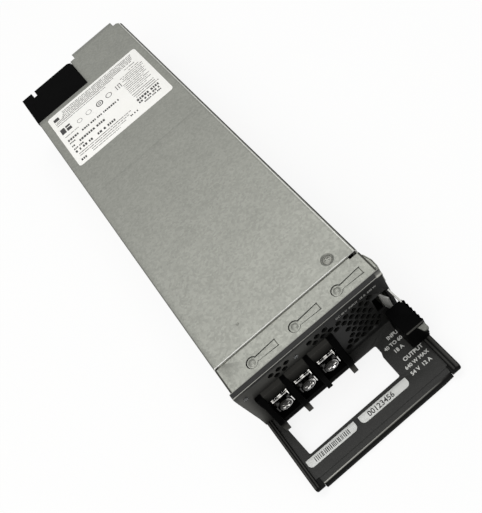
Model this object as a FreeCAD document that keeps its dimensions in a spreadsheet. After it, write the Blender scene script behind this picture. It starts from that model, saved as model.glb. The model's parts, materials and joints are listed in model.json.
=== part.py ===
import FreeCAD, Part
import os
import re

import Sketcher

# Slide-in power supply with a direct current input.
# +X is the latch side, +Y runs from the panel to the rear connector, +Z is up.
# The origin lies on the underside of the case, on its centre line, at the case mouth.
# All lengths are in millimetres.

dimensions = {
    # folded steel case
    "body_width": 82.5,
    "body_height": 40.0,
    "case_length": 278.4,
    "sheet_gauge": 0.8,
    "cover_start": 15.3,
    "skirt_gap": 3.0,
    "rear_tab_length": 5.3,
    "rear_tab_inset": 4.22,
    "corner_cut": 5.0,
    "notch_length": 31.0,
    "notch_width": 39.75,
    "vent_width": 3.0,
    "vent_pitch": 5.5,
    "vent_margin": 6.0,
    # countersunk cover screws
    "cover_screw_side": 11.95,
    "cover_screw_back": 5.9,
    "cover_screw_head": 3.1,
    "cover_screw_shank": 1.5,
    "cover_screw_length": 5.0,
    "screw_play": 0.06,
    "side_screw_front": 100.0,
    "side_screw_rear": 40.0,
    "side_screw_height": 20.0,
    "cross_depth": 0.5,
    "cross_width": 0.8,
    "cross_reach": 1.9,
    "tab_length": 9.0,
    "tab_width": 15.0,
    # front collar and its spring fingers
    "collar_tuck": 2.0,
    "collar_flange": 3.0,
    "collar_nick": 3.7,
    "collar_nick_length": 1.7,
    "finger_margin": 3.25,
    "finger_shift": 1.6,
    "finger_back": 5.6,
    "finger_pad": 2.6,
    "finger_reach": 14.3,
    "finger_root": 3.5,
    "finger_neck": 2.0,
    "finger_slot": 0.45,
    "dome_reach": 1.8,
    "dome_height": 0.7,
    # labels
    "label_thickness": 0.12,
    "rating_label_left": 3.15,
    "rating_label_right": 6.65,
    "rating_label_length": 56.1,
    "rating_label_gap": 4.0,
    # perforated front panel
    "panel_depth": 3.2,
    "panel_gauge": 1.2,
    "panel_round": 0.9,
    "hole_pitch": 4.4,
    "hole_row_pitch": 3.17,
    "hole_flat": 3.0,
    "hole_first": 48.65,
    "hole_drop": 5.0,
    "hole_margin": 0.5,
    "field_right": 7.4,
    "field_bottom": 0.6,
    "print_width": 28.2,
    "print_height": 6.0,
    "lamp_room": 2.2,
    "lamp_print": 4.5,
    "lamp_bay": 14.25,
    "land_width": 3.0,
    "land_low": 16.4,
    "land_high": 24.5,
    "light_left": 2.9,
    "light_middle": 31.7,
    "light_drop": 6.2,
    "light_radius": 1.1,
    "light_proud": 0.35,
    "light_length": 9.0,
    "light_collar": 0.5,
    # pull handle
    "plate_height": 4.0,
    "plate_gauge": 1.2,
    "handle_inset": 1.05,
    "handle_reach": 43.2,
    "rim_width": 2.5,
    "rim_height": 1.5,
    "rim_round": 0.7,
    "tongue_length": 13.0,
    "tongue_inset": 2.0,
    "window_start": 8.8,
    "window_end": 28.6,
    "window_left": 5.4,
    "window_right": 19.9,
    "window_step": 1.1,
    "window_step_start": 13.6,
    "window_offset": 1.0,
    "window_round": 1.0,
    "lip_left": 4.2,
    "lip_right": 2.6,
    "lip_width": 3.7,
    "lip_drop": 0.6,
    "lip_proud": 0.4,
    "crease_depth": 0.3,
    "crease_width": 0.5,
    "handle_label_start": 29.5,
    "handle_label_width": 5.1,
    "handle_label_left": 28.8,
    "handle_label_right": 29.2,
    "handle_label_margin": 2.6,
    "handle_label_gap": 1.4,
    "handle_label_round": 2.2,
    "handle_screw_side": 12.0,
    "handle_screw_back": 8.0,
    "handle_screw_head": 2.7,
    "handle_screw_shank": 1.4,
    "spacer_radius": 3.5,
    # barrier terminal block
    "terminal_pitch": 13.55,
    "first_terminal": 14.15,
    "terminal_height": 17.0,
    "block_margin": 2.25,
    "block_wall": 1.4,
    "block_head": 7.0,
    "block_top": 29.6,
    "block_brow": 1.2,
    "block_shelf": 3.4,
    "block_shelf_reach": 5.6,
    "block_gap": 0.1,
    "block_boss_inset": 2.0,
    "block_boss_depth": 4.5,
    "block_boss_low": 9.0,
    "block_boss_high": 27.0,
    "cutout_play": 0.2,
    "barrier_gauge": 2.7,
    "barrier_reach": 9.4,
    "barrier_short": 7.2,
    "barrier_shoulder": 19.0,
    "bar_width": 9.0,
    "bar_gauge": 0.8,
    "bar_low": 12.4,
    "bar_high": 22.3,
    "bar_tail": 6.0,
    "bar_back": 8.0,
    "bar_play": 0.1,
    "tooth_width": 2.2,
    "tooth_height": 1.7,
    "tooth_depth": 0.5,
    "tooth_spread": 2.2,
    "clamp_width": 9.0,
    "clamp_height": 7.4,
    "clamp_gauge": 0.8,
    "clamp_ear": 2.4,
    "clamp_ear_height": 4.6,
    "screw_radius": 1.75,
    "screw_length": 9.4,
    "screw_out": 1.7,
    "screw_run": 0.05,
    "screw_bore_play": 0.3,
    "screw_head_radius": 3.3,
    "screw_head_crown": 2.64,
    "screw_head_height": 2.2,
    "screw_cross": 1.1,
    "screw_cross_reach": 2.0,
    "screw_cross_depth": 1.2,
    "washer_radius": 3.0,
    "washer_gauge": 0.7,
    # release latch
    "leaf_gauge": 0.8,
    "leaf_stand_off": 0.3,
    "leaf_low": 15.5,
    "leaf_high": 27.5,
    "leaf_pivot": 70.0,
    "leaf_tail": 3.0,
    "leaf_bend": 3.0,
    "leaf_slot_inset": 4.85,
    "leaf_offset": 5.0,
    "leaf_tip_reach": 25.0,
    "leaf_tip_low": 9.0,
    "leaf_tip_high": 18.5,
    "hook_low": 20.5,
    "hook_drop": 6.5,
    "hook_start": 4.3,
    "hook_length": 10.4,
    "hook_proud": 3.1,
    "hook_play": 1.2,
    "latch_travel": 3.8,
    "latch_play": 0.4,
    "rivet_radius": 1.2,
    "rivet_head": 2.3,
    "rivet_head_height": 0.8,
    "rivet_gap": 0.3,
    "rivet_height": 18.3,
    "rivet_spacing": 6.4,
    "cap_inset": 8.25,
    "cap_proud": 2.0,
    "cap_start": 7.4,
    "cap_length": 15.7,
    "cap_low": 5.6,
    "cap_high": 20.0,
    "cap_round": 1.2,
    "rib_radius": 0.75,
    "rib_pitch": 2.5,
    "rib_count": 6,
    # cooling fan
    "fan_front": 29.0,
    "fan_depth": 28.0,
    "fan_gap": 0.2,
    "fan_side_room": 5.15,
    "fan_rim": 0.8,
    "fan_hub": 9.5,
    "fan_hub_wall": 1.0,
    "fan_tip_gap": 0.6,
    "fan_shaft": 1.5,
    "fan_run": 0.05,
    "fan_tube": 3.2,
    "fan_tube_length": 17.0,
    "fan_plate": 2.0,
    "fan_strut": 2.5,
    "fan_cup_start": 3.0,
    "fan_cup_length": 18.0,
    "fan_blade_gauge": 1.0,
    "fan_blade_chord": 9.0,
    "fan_blade_angle": 35.0,
    "fan_blade_count": 7,
    "fan_stator_radius": 7.6,
    "fan_stator_length": 9.0,
    "fan_screw_inset": 3.0,
    "fan_screw_shank": 1.4,
    "fan_screw_head": 2.4,
    "fan_screw_head_height": 1.4,
    "fan_screw_length": 9.0,
    "fan_screw_play": 0.2,
    # circuit board and what it carries
    "sheet_insulation": 0.4,
    "board_height": 5.0,
    "board_gauge": 1.6,
    "board_gap": 1.0,
    "board_start": 4.0,
    "board_step": 26.0,
    "board_fan_gap": 2.5,
    "board_rear_gap": 1.0,
    "spacer_shank": 3.0,
    "spacer_inset": 5.0,
    "board_screw_radius": 1.5,
    "board_screw_head": 2.8,
    "board_screw_head_height": 1.8,
    "board_screw_grip": 2.6,
    "part_gap": 4.0,
    "fuse_radius": 3.2,
    "fuse_length": 30.0,
    "fuse_side": 7.0,
    "fuse_lift": 1.2,
    "choke_gap": 0.4,
    "choke_tube_share": 0.32,
    "choke_base": 2.0,
    "film_width": 12.0,
    "film_length": 6.0,
    "film_height": 14.0,
    "bulk_height": 24.0,
    "bulk_space": 2.5,
    "bulk_left_gap": 0.9,
    "bulk_right_gap": 7.5,
    "sink_length": 66.0,
    "sink_height": 22.0,
    "sink_base": 2.0,
    "sink_fin": 6.5,
    "sink_fin_gauge": 1.2,
    "sink_fin_count": 5,
    "sink_margin": 2.6,
    "switch_width": 15.6,
    "switch_height": 20.0,
    "switch_gauge": 4.8,
    "switch_pitch": 22.0,
    "core_gap": 2.75,
    "core_length": 18.0,
    "core_height": 22.0,
    "core_leg": 10.0,
    "core_yoke": 5.0,
    "coil_play": 0.3,
    "coil_overhang": 7.0,
    "ring_radius": 9.0,
    "ring_tube": 4.6,
    "output_can_height": 18.0,
    "output_can_space": 2.0,
    "output_can_left": 9.65,
    "output_can_right": 5.75,
    "card_width": 42.0,
    "card_height": 22.0,
    "card_gauge": 1.6,
    # rear connector
    "connector_proud": 1.0,
    "connector_gap": 0.3,
    "connector_rear": 1.5,
    "connector_top": 0.4,
    "connector_wall": 2.2,
    "mouth_depth": 17.0,
    "key_side": 7.8,
    "key_width": 2.6,
    "key_depth": 5.8,
    "mouth_chamfer": 2.0,
    "blade_gauge": 1.4,
    "blade_height": 18.0,
    "blade_pitch": 4.2,
    "blade_inset": 5.0,
    "blade_count": 5,
    "blade_front": 12.0,
    "blade_reach": 8.0,
    "blade_play": 0.1,
    "pin_gauge": 0.8,
    "pin_pitch": 2.4,
    "pin_columns": 4,
    "pin_rows": 3,
    "pin_height": 10.0,
    # how far a cutting tool runs past the material
    "overrun": 2.0,
}

# places worked out from the driving dimensions
rules = {
    "half": "body_width / 2",
    "lid_under": "body_height - sheet_gauge",
    "wall_top": "lid_under - sheet_gauge",
    "wall_out": "half - sheet_gauge",
    "wall_in": "wall_out - sheet_gauge",
    "case_rear": "case_length",
    "notch_front": "case_length - notch_length",
    "notch_side": "notch_width - half",
    "corner_side": "half - corner_cut",
    "corner_back": "case_rear - corner_cut",
    "mitre": "tan(22.5 deg)",
    "corner_step": "mitre * sheet_gauge",
    "finger_pitch": "wall_out - finger_margin - finger_reach + finger_shift",
    "hook_high": "body_height - hook_drop",
    "collar_back": "cover_start + collar_tuck",
    "face": "-panel_depth",
    "face_back": "panel_gauge - panel_depth",
    "plate_top": "plate_height",
    "plate_under": "plate_height - plate_gauge",
    "handle_side": "half - handle_inset",
    "handle_end": "-handle_reach",
    "tongue_side": "wall_in - sheet_gauge - tongue_inset",
    "block_low": "plate_top + block_gap",
    "block_left": "first_terminal - half - terminal_pitch / 2 - block_margin",
    "block_right": "first_terminal - half + 2.5 * terminal_pitch + block_margin",
    "block_face": "face - block_wall",
    "bar_face": "block_face - bar_gauge",
    "clamp_face": "bar_face - clamp_gauge",
    "washer_back": "clamp_face - screw_out",
    "washer_front": "washer_back - washer_gauge",
    "head_front": "washer_front - screw_head_height",
    "leaf_side": "wall_in - leaf_stand_off - leaf_gauge / 2",
    "slot_side": "half - leaf_slot_inset",
    "slot_left": "slot_side - leaf_gauge / 2 - latch_travel - latch_play",
    "slot_right": "slot_side + leaf_gauge / 2 + latch_play",
    "cap_inner": "half - cap_inset",
    "cap_outer": "half + cap_proud",
    "cap_rear": "-cap_start",
    "cap_front": "-cap_start - cap_length",
    "fan_size": "lid_under - sheet_gauge - 2 * fan_gap",
    "fan_right": "wall_in - fan_side_room",
    "fan_x": "fan_right - fan_size / 2",
    "fan_z": "sheet_gauge + fan_gap + fan_size / 2",
    "fan_bore": "fan_size / 2 - fan_rim",
    "fan_rear": "fan_front + fan_depth",
    "board_side": "wall_in - board_gap",
    "board_top": "board_height + board_gauge",
    "board_bay": "fan_rear + board_fan_gap",
    "board_rear": "notch_front - board_rear_gap",
    "fan_left": "fan_right - fan_size",
    "fuse_x": "fuse_side - board_side",
    "choke_left": "fuse_x + fuse_radius + choke_gap",
    "choke_right": "fan_left - board_fan_gap - choke_gap",
    "choke_reach": "(choke_right - choke_left) / 2",
    "choke_tube": "choke_tube_share * choke_reach",
    "choke_radius": "choke_reach - choke_tube",
    "sink_side": "board_side - sink_margin - sink_fin - sink_base",
    "switch_face": "sink_side - switch_gauge",
    "core_side": "switch_face - core_gap",
    "bulk_left": "bulk_left_gap - switch_face",
    "bulk_radius": "(board_side - bulk_right_gap - bulk_left - 2 * bulk_space) / 6",
    "output_left": "output_can_left - board_side",
    "output_right": "switch_face - output_can_right",
    "output_radius": "(output_right - output_left - 3 * output_can_space) / 8",
    "stage_one": "board_bay + part_gap",
    "stage_two": "stage_one + 2 * bulk_radius + part_gap + coil_overhang",
    "stage_three": "stage_two + core_length + coil_overhang + part_gap",
    "connector_left": "-half - connector_proud",
    "connector_right": "notch_side - connector_gap",
    "connector_front": "notch_front + connector_gap",
    "connector_end": "case_rear + connector_rear",
    "connector_high": "body_height - connector_top",
    "mouth_back": "connector_end - mouth_depth",
}

doc = FreeCAD.newDocument("power_supply")
sizes = doc.addObject("Spreadsheet::Sheet", "sizes")
for row, (alias, value) in enumerate(dimensions.items(), start=1):
    sizes.set(f"A{row}", alias)
    sizes.set(f"B{row}", str(value))
    sizes.setAlias(f"B{row}", alias)
doc.recompute()

nodes = []


def formula(text):
    """Spell out a formula of dimension names as references to the sheet."""
    def spell(match):
        word = match.group(0)
        if word in rules:
            return "(" + formula(rules[word]) + ")"
        if word in dimensions:
            return "sizes." + word
        return word
    return re.sub(r"[a-z][a-z_0-9]*", spell, str(text))


def number(text):
    """Present value of a formula."""
    return float(sizes.evalExpression(formula(text)))


def bind(item, setting, text):
    item.setExpression(setting, formula(text))


def box(name, across, along, up):
    """Block between two formulas on each axis."""
    block = doc.addObject("Part::Box", name)
    sides = zip(("Length", "Width", "Height"), "xyz", (across, along, up))
    for side, axis, (low, high) in sides:
        bind(block, side, f"({high}) - ({low})")
        bind(block, "Placement.Base." + axis, low)
    return block


def stand(item, axis, centre, low):
    """Set a round primitive along an axis, from low, at a centre on the other two axes."""
    turns = {
        "x": FreeCAD.Rotation(FreeCAD.Vector(0, 1, 0), 90),
        "y": FreeCAD.Rotation(FreeCAD.Vector(1, 0, 0), -90),
        "z": FreeCAD.Rotation(),
    }
    item.Placement = FreeCAD.Placement(FreeCAD.Vector(), turns[axis])
    others = [letter for letter in "xyz" if letter != axis]
    for letter, place in zip(others, centre):
        bind(item, "Placement.Base." + letter, place)
    bind(item, "Placement.Base." + axis, low)
    return item


def rod(name, axis, radius, centre, span):
    """Cylinder along an axis between two formulas."""
    cylinder = doc.addObject("Part::Cylinder", name)
    bind(cylinder, "Radius", radius)
    bind(cylinder, "Height", f"({span[1]}) - ({span[0]})")
    return stand(cylinder, axis, centre, span[0])


def taper(name, axis, radii, centre, span):
    """Cone between two radii along an axis."""
    cone = doc.addObject("Part::Cone", name)
    bind(cone, "Radius1", radii[0])
    bind(cone, "Radius2", radii[1])
    bind(cone, "Height", f"({span[1]}) - ({span[0]})")
    return stand(cone, axis, centre, span[0])


def prism(name, plane, corners, span):
    """Outline of straight edges on an origin plane, padded between two formulas."""
    body = doc.addObject("PartDesign::Body", name)
    origin = [item for item in body.Origin.OriginFeatures if item.Role == plane + "_Plane"][0]
    sketch = body.newObject("Sketcher::SketchObject", name + "_outline")
    sketch.AttachmentSupport = (origin, [""])
    sketch.MapMode = "FlatFace"
    count = len(corners)
    first = [FreeCAD.Vector(index, index * index, 0) for index in range(count)]
    for index in range(count):
        sketch.addGeometry(Part.LineSegment(first[index], first[(index + 1) % count]), False)
    for index in range(count):
        sketch.addConstraint(Sketcher.Constraint("Coincident", index, 2, (index + 1) % count, 1))
    for index, corner in enumerate(corners):
        for kind, begin, place in zip(("DistanceX", "DistanceY"), first[index], corner):
            datum = sketch.addConstraint(Sketcher.Constraint(kind, -1, 1, index, 1, begin))
            bind(sketch, f"Constraints[{datum}]", place)
    pad = body.newObject("PartDesign::Pad", name + "_pad")
    pad.Profile = sketch
    bind(pad, "Length", f"({span[1]}) - ({span[0]})")
    axis = {"XY": "z", "XZ": "y", "YZ": "x"}[plane]
    bind(body, "Placement.Base." + axis, span[1] if plane == "XZ" else span[0])
    return body


def fuse(name, items):
    joined = doc.addObject("Part::MultiFuse", name)
    joined.Shapes = items
    joined.Refine = True
    return joined


def cut(name, base, tools):
    piece = doc.addObject("Part::Cut", name)
    piece.Base = base
    piece.Tool = tools[0] if len(tools) == 1 else fuse(name + "_tools", tools)
    piece.Refine = True
    return piece


def group(name, items):
    """Separate solids of one kind, kept together."""
    together = doc.addObject("Part::Compound", name)
    together.Links = items
    return together


def rounded(name, base, radius, pick):
    """Round the edges that pick chooses by their end points."""
    doc.recompute()
    piece = doc.addObject("Part::Fillet", name)
    piece.Base = base
    size = number(radius)
    chosen = []
    for index, edge in enumerate(base.Shape.Edges, start=1):
        ends = [vertex.Point for vertex in edge.Vertexes]
        if len(ends) == 2 and pick(*ends):
            chosen.append((index, size, size))
    piece.Edges = chosen
    return piece


def near(first, second):
    return abs(first - second) < 0.001


def publish(node, item):
    """Name a finished piece for its file."""
    item.Label = node
    nodes.append(item)
    return item


def countersunk(name, axis, outward, centre, top, head, shank, depth, length):
    """Flat-head screw with a cross slot; top is the level of its head."""
    def level(distance):
        return f"({top}) - ({outward}) * ({distance})"

    def along(near_end, far_end):
        return (level(far_end), level(near_end)) if outward > 0 else (level(near_end), level(far_end))

    radii = (shank, head) if outward > 0 else (head, shank)
    parts = [
        taper(name + "_head", axis, radii, centre, along("0", depth)),
        rod(name + "_shank", axis, shank, centre, along(depth, length)),
    ]
    slots = []
    arms = (("cross_width / 2", "cross_reach"), ("cross_reach", "cross_width / 2"))
    for index, reach in enumerate(arms):
        sides = [(f"({place}) - {size}", f"({place}) + {size}") for place, size in zip(centre, reach)]
        sides.insert("xyz".index(axis), along("-cross_depth", "cross_depth"))
        slots.append(box(f"{name}_slot_{index}", *sides))
    return cut(name, fuse(name + "_blank", parts), slots)


def chassis_base():
    """Tray with side walls, vented rear wall, fan bracket and screw tab."""
    def outline(name, inset, front, up):
        side = f"half - sheet_gauge - {inset}"
        rear = f"case_rear - {inset}"
        step = f"corner_cut + corner_step + mitre * ({inset})"
        corners = [(f"-({side})", front), (side, front), (side, f"case_rear - sheet_gauge - {step}"),
                   (f"half - sheet_gauge - {step}", rear), (f"-({side})", rear)]
        return prism(name, "XY", corners, up)

    tray = cut("tray", outline("tray_outside", "0", "0", ("0", "wall_top")),
               [outline("tray_inside", "sheet_gauge", "-sheet_gauge", ("sheet_gauge", "body_height"))])
    bracket_span = ("fan_front - sheet_gauge", "fan_front")
    punch_span = ("fan_front - 2 * sheet_gauge", "fan_front + sheet_gauge")
    bracket = cut("fan_bracket",
                  box("fan_bracket_plate", ("fan_left", "fan_right"), bracket_span,
                      ("0", "wall_top - sheet_gauge")),
                  [rod("fan_bracket_bore", "y", "fan_bore", ("fan_x", "fan_z"), punch_span)])
    tab_span = ("collar_back + cutout_play", "collar_back + cutout_play + tab_length")
    tab = box("cover_tab", ("wall_in - tab_width", "wall_in"), tab_span, ("wall_top", "lid_under"))
    brim = box("cover_tab_root", ("wall_in", "wall_out"), tab_span, ("wall_top - sheet_gauge", "lid_under"))
    openings = [
        box("connector_bay", ("-body_width", "notch_side"), ("notch_front", "2 * case_rear"),
            ("sheet_gauge", "body_height")),
        box("hook_window", ("wall_in - sheet_gauge", "half"),
            ("hook_start - hook_play", "hook_start + hook_length + hook_play"),
            ("hook_low - hook_play", "hook_high + hook_play")),
        rod("cover_tab_hole", "z", "cover_screw_shank + screw_play",
            ("half - cover_screw_side", "cover_start + cover_screw_back"),
            ("wall_top - sheet_gauge", "body_height")),
    ]
    openings += [rod(f"rivet_hole_{index}", "x", "rivet_radius", ("leaf_pivot", level),
                     ("wall_in - sheet_gauge", "half"))
                 for index, level in enumerate(("rivet_height", "rivet_height + rivet_spacing"))]
    for side in (-1, 1):
        for end, place in (("front", "side_screw_front"), ("rear", "notch_front - side_screw_rear")):
            openings.append(rod(f"side_hole_{end}_{side + 1}", "x", "cover_screw_shank + screw_play",
                                (place, "side_screw_height"),
                                (f"{side} * half - overrun", f"{side} * half + overrun")))
    for side in (-1, 1):
        openings.append(rod(f"handle_hole_{side + 1}", "z", "handle_screw_shank + screw_play",
                            (f"{side} * (half - handle_screw_side)", "handle_screw_back"),
                            ("-sheet_gauge", "2 * sheet_gauge")))
        openings.append(taper(f"handle_sink_{side + 1}", "z",
                              ("handle_screw_head + screw_play", "handle_screw_shank + screw_play"),
                              (f"{side} * (half - handle_screw_side)", "handle_screw_back"),
                              ("0", "sheet_gauge")))
    for across in (-1, 1):
        for level in (-1, 1):
            openings.append(rod(f"fan_bracket_hole_{across + 1}_{level + 1}", "y",
                                "fan_screw_shank + screw_play", fan_corner(across, level), punch_span))
    room = number("half - corner_cut - vent_margin - notch_side - vent_margin")
    count = int(room / number("vent_pitch")) + 1
    for index in range(count):
        low = f"notch_side + vent_margin + {index} * vent_pitch - vent_width / 2"
        openings.append(box(f"rear_vent_{index}", (low, f"{low} + vent_width"),
                            ("case_rear - 2 * sheet_gauge", "case_rear + sheet_gauge"),
                            ("board_top + vent_margin", "wall_top - vent_margin")))
    publish("chassis_base", cut("chassis", fuse("chassis_blank", [tray, bracket, tab, brim]), openings))


def fan_corner(across, level):
    """Centre of a fan screw, on X and Z."""
    reach = "(fan_size / 2 - fan_screw_inset)"
    return (f"fan_x + {across} * {reach}", f"fan_z + {level} * {reach}")


def front_collar():
    """Strip behind the panel with short side flanges and three slotted spring fingers."""
    pieces = [box("collar_strip", ("-wall_out", "wall_out"), ("0", "collar_back"),
                  ("wall_top", "lid_under"))]
    for side, low, high in (("left", "-wall_in", "sheet_gauge - wall_in"),
                            ("right", "wall_in - sheet_gauge", "wall_in")):
        pieces.append(box("collar_flange_" + side, (low, high), ("0", "collar_back"),
                          ("wall_top - collar_flange", "wall_top")))
    slots = [box("collar_nick_cut", ("wall_out - collar_nick", "half"),
                 ("cover_start - collar_nick_length", "2 * cover_start"),
                 ("wall_top - collar_flange - overrun", "body_height"))]
    fingers = []
    for index in (-1, 0, 1):
        centre = f"{index} * finger_pitch - finger_shift"
        for name, spread, end, store in (("slot", "finger_slot", "0", slots),
                                         ("stem", "0", "finger_slot", fingers)):
            root = f"{centre} + finger_reach + {end}"
            neck = f"(finger_neck / 2 + {spread})"
            foot = f"(finger_root / 2 + {spread})"
            store.append(prism(f"finger_{name}_{index + 1}", "XY",
                               [(centre, f"finger_back - {neck}"), (root, f"finger_back - {foot}"),
                                (root, f"finger_back + {foot}"), (centre, f"finger_back + {neck}")],
                               ("wall_top", "lid_under")))
            store.append(rod(f"finger_{name}_pad_{index + 1}", "z", f"finger_pad + {spread}",
                             (centre, "finger_back"), ("wall_top", "lid_under")))
        fingers.append(dome(f"finger_dome_{index + 1}", centre))
    strip = cut("collar_blank", fuse("collar_bent", pieces), slots)
    publish("front_collar", fuse("collar", [strip] + fingers))


def dome(name, centre):
    """Pressed contact dome: a cap of a sphere standing on a finger's pad."""
    ball = doc.addObject("Part::Sphere", name)
    radius = "((dome_reach ^ 2 + dome_height ^ 2) / (2 * dome_height))"
    bind(ball, "Radius", radius)
    bind(ball, "Angle1", f"asin(1 - dome_height / {radius})")
    bind(ball, "Placement.Base.x", centre)
    bind(ball, "Placement.Base.y", "finger_back")
    bind(ball, "Placement.Base.z", f"lid_under + dome_height - {radius}")
    return ball


def top_cover():
    """Lid with side skirts, a rear tab, a cut corner and the connector notch."""
    tab_right = "corner_side - corner_step"
    tab_left = "notch_side + rear_tab_inset"
    tab_end = "case_rear + rear_tab_length"
    lid = prism("lid", "XY",
                [("-half", "cover_start"), ("half", "cover_start"), ("half", "corner_back"),
                 ("corner_side", "case_rear"), (tab_right, "case_rear"), (tab_right, tab_end),
                 (tab_left, tab_end), (tab_left, "case_rear"), ("notch_side", "case_rear"),
                 ("notch_side", "notch_front"), ("-half", "notch_front")], ("lid_under", "body_height"))
    skirts = [box("skirt_left", ("-half", "-wall_out"), ("cover_start", "notch_front"),
                  ("skirt_gap", "lid_under")),
              box("skirt_right", ("wall_out", "half"), ("cover_start", "corner_back"),
                  ("skirt_gap", "lid_under"))]
    wide = "cover_screw_head + screw_play"
    slim = "cover_screw_shank + screw_play"
    lid_screw = ("half - cover_screw_side", "cover_start + cover_screw_back")
    sinks = [taper("lid_sink", "z", (slim, wide), lid_screw, ("lid_under", "body_height"))]
    for side in (-1, 1):
        for end, place in (("front", "side_screw_front"), ("rear", "notch_front - side_screw_rear")):
            span = ("wall_out", "half") if side > 0 else ("-half", "-wall_out")
            radii = (slim, wide) if side > 0 else (wide, slim)
            sinks.append(taper(f"skirt_sink_{end}_{side + 1}", "x", radii,
                               (place, "side_screw_height"), span))
    publish("top_cover", cut("cover", fuse("cover_bent", [lid] + skirts), sinks))
    screws = [countersunk("lid_screw", "z", 1, lid_screw, "body_height", "cover_screw_head",
                          "cover_screw_shank", "sheet_gauge", "cover_screw_length")]
    for side in (-1, 1):
        for end, place in (("front", "side_screw_front"), ("rear", "notch_front - side_screw_rear")):
            screws.append(countersunk(f"skirt_screw_{end}_{side + 1}", "x", side,
                                      (place, "side_screw_height"), f"{side} * half",
                                      "cover_screw_head", "cover_screw_shank", "sheet_gauge",
                                      "cover_screw_length"))
    publish("cover_screws", group("cover_screw_set", screws))
    rear = "notch_front - rating_label_gap"
    publish("rating_label", box("rating_sticker",
                                ("rating_label_left - half", "half - rating_label_right"),
                                (f"{rear} - rating_label_length", rear),
                                ("body_height", "body_height + label_thickness")))


def hexagon(name, across, level):
    """Hexagonal punch through the panel, corners up and down."""
    punch = doc.addObject("Part::Prism", name)
    punch.Polygon = 6
    bind(punch, "Circumradius", "hole_flat / sqrt(3)")
    bind(punch, "Height", "2 * panel_depth")
    forward = FreeCAD.Rotation(FreeCAD.Vector(1, 0, 0), -90)
    upright = FreeCAD.Rotation(FreeCAD.Vector(0, 0, 1), 90)
    punch.Placement = FreeCAD.Placement(FreeCAD.Vector(), forward.multiply(upright))
    bind(punch, "Placement.Base.x", across)
    bind(punch, "Placement.Base.y", "face - panel_depth / 2")
    bind(punch, "Placement.Base.z", level)
    return punch


def front_panel():
    """Shallow pan with a rounded top edge, staggered hexagonal holes and cut-outs."""
    top = number("body_height")
    front = number("face")
    block = box("pan_block", ("-half", "half"), ("face", "0"), ("plate_top", "body_height"))
    pan = rounded("pan", block, "panel_round",
                  lambda first, second: near(first.z, top) and near(second.z, top)
                  and near(first.y, front) and near(second.y, front))
    through = ("2 * face", "panel_depth")
    play = "cutout_play"
    cuts = [
        box("pan_hollow", ("panel_gauge - half", "half - panel_gauge"), ("face_back", "panel_depth"),
            ("plate_top - panel_gauge", "body_height - panel_gauge")),
        box("terminal_cutout",
            (f"block_left + block_boss_inset - {play}", f"block_right - block_boss_inset + {play}"),
            through, (f"block_boss_low - {play}", f"block_boss_high + {play}")),
        box("leaf_slot", ("slot_left", "slot_right"), through,
            ("leaf_low - latch_play", "leaf_high + latch_play")),
    ]
    for side, place in (("left", "light_left"), ("middle", "light_middle")):
        cuts.append(rod("light_hole_" + side, "y", "light_radius + screw_play",
                        (f"{place} - half", "body_height - light_drop"), through))
    cuts += [hexagon(f"hole_{index}", *place) for index, place in enumerate(hole_places())]
    publish("front_panel", cut("panel", pan, cuts))
    for node, place in (("input_light_pipe", "light_left"), ("output_light_pipe", "light_middle")):
        centre = (f"{place} - half", "body_height - light_drop")
        publish(node, fuse(node + "_rod", [
            rod(node + "_stem", "y", "light_radius", centre,
                ("face - light_proud", "face - light_proud + light_length")),
            rod(node + "_stop", "y", "light_radius + light_collar", centre,
                ("face_back", "face_back + light_collar"))]))


def hole_places():
    """Centres of the staggered holes that keep clear of the solid parts of the panel."""
    lamp = "body_height - light_drop"
    solid = [
        ("-half", "block_right", "0", "block_top"),
        ("block_right", "block_right + land_width", "land_low", "land_high"),
        ("half - print_width", "half", "body_height - print_height", "body_height"),
        ("-half", "lamp_bay - half", f"{lamp} - lamp_room", "body_height"),
        ("light_middle - half - lamp_room", "light_middle - half + lamp_print", f"{lamp} - lamp_room",
         "body_height"),
        ("slot_left", "half", "leaf_low - latch_play", "leaf_high + latch_play"),
        ("half - field_right", "half", "0", "body_height"),
        ("-half", "half", "0", "plate_top + field_bottom"),
    ]
    solid = [[number(edge) for edge in area] for area in solid]
    reach = number("hole_flat / 2 + hole_margin")
    rows = int(number("(body_height - hole_drop - plate_top) / hole_row_pitch"))
    columns = int(number("half / hole_pitch"))
    places = []
    for row in range(rows + 1):
        for column in range(-2 * columns, columns):
            across = f"hole_first - half + {column + row % 2 / 2} * hole_pitch"
            level = f"body_height - hole_drop - {row} * hole_row_pitch"
            x, z = number(across), number(level)
            if not any(left - reach < x < right + reach and low - reach < z < high + reach
                       for left, right, low, high in solid):
                places.append((across, level))
    return places


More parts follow.
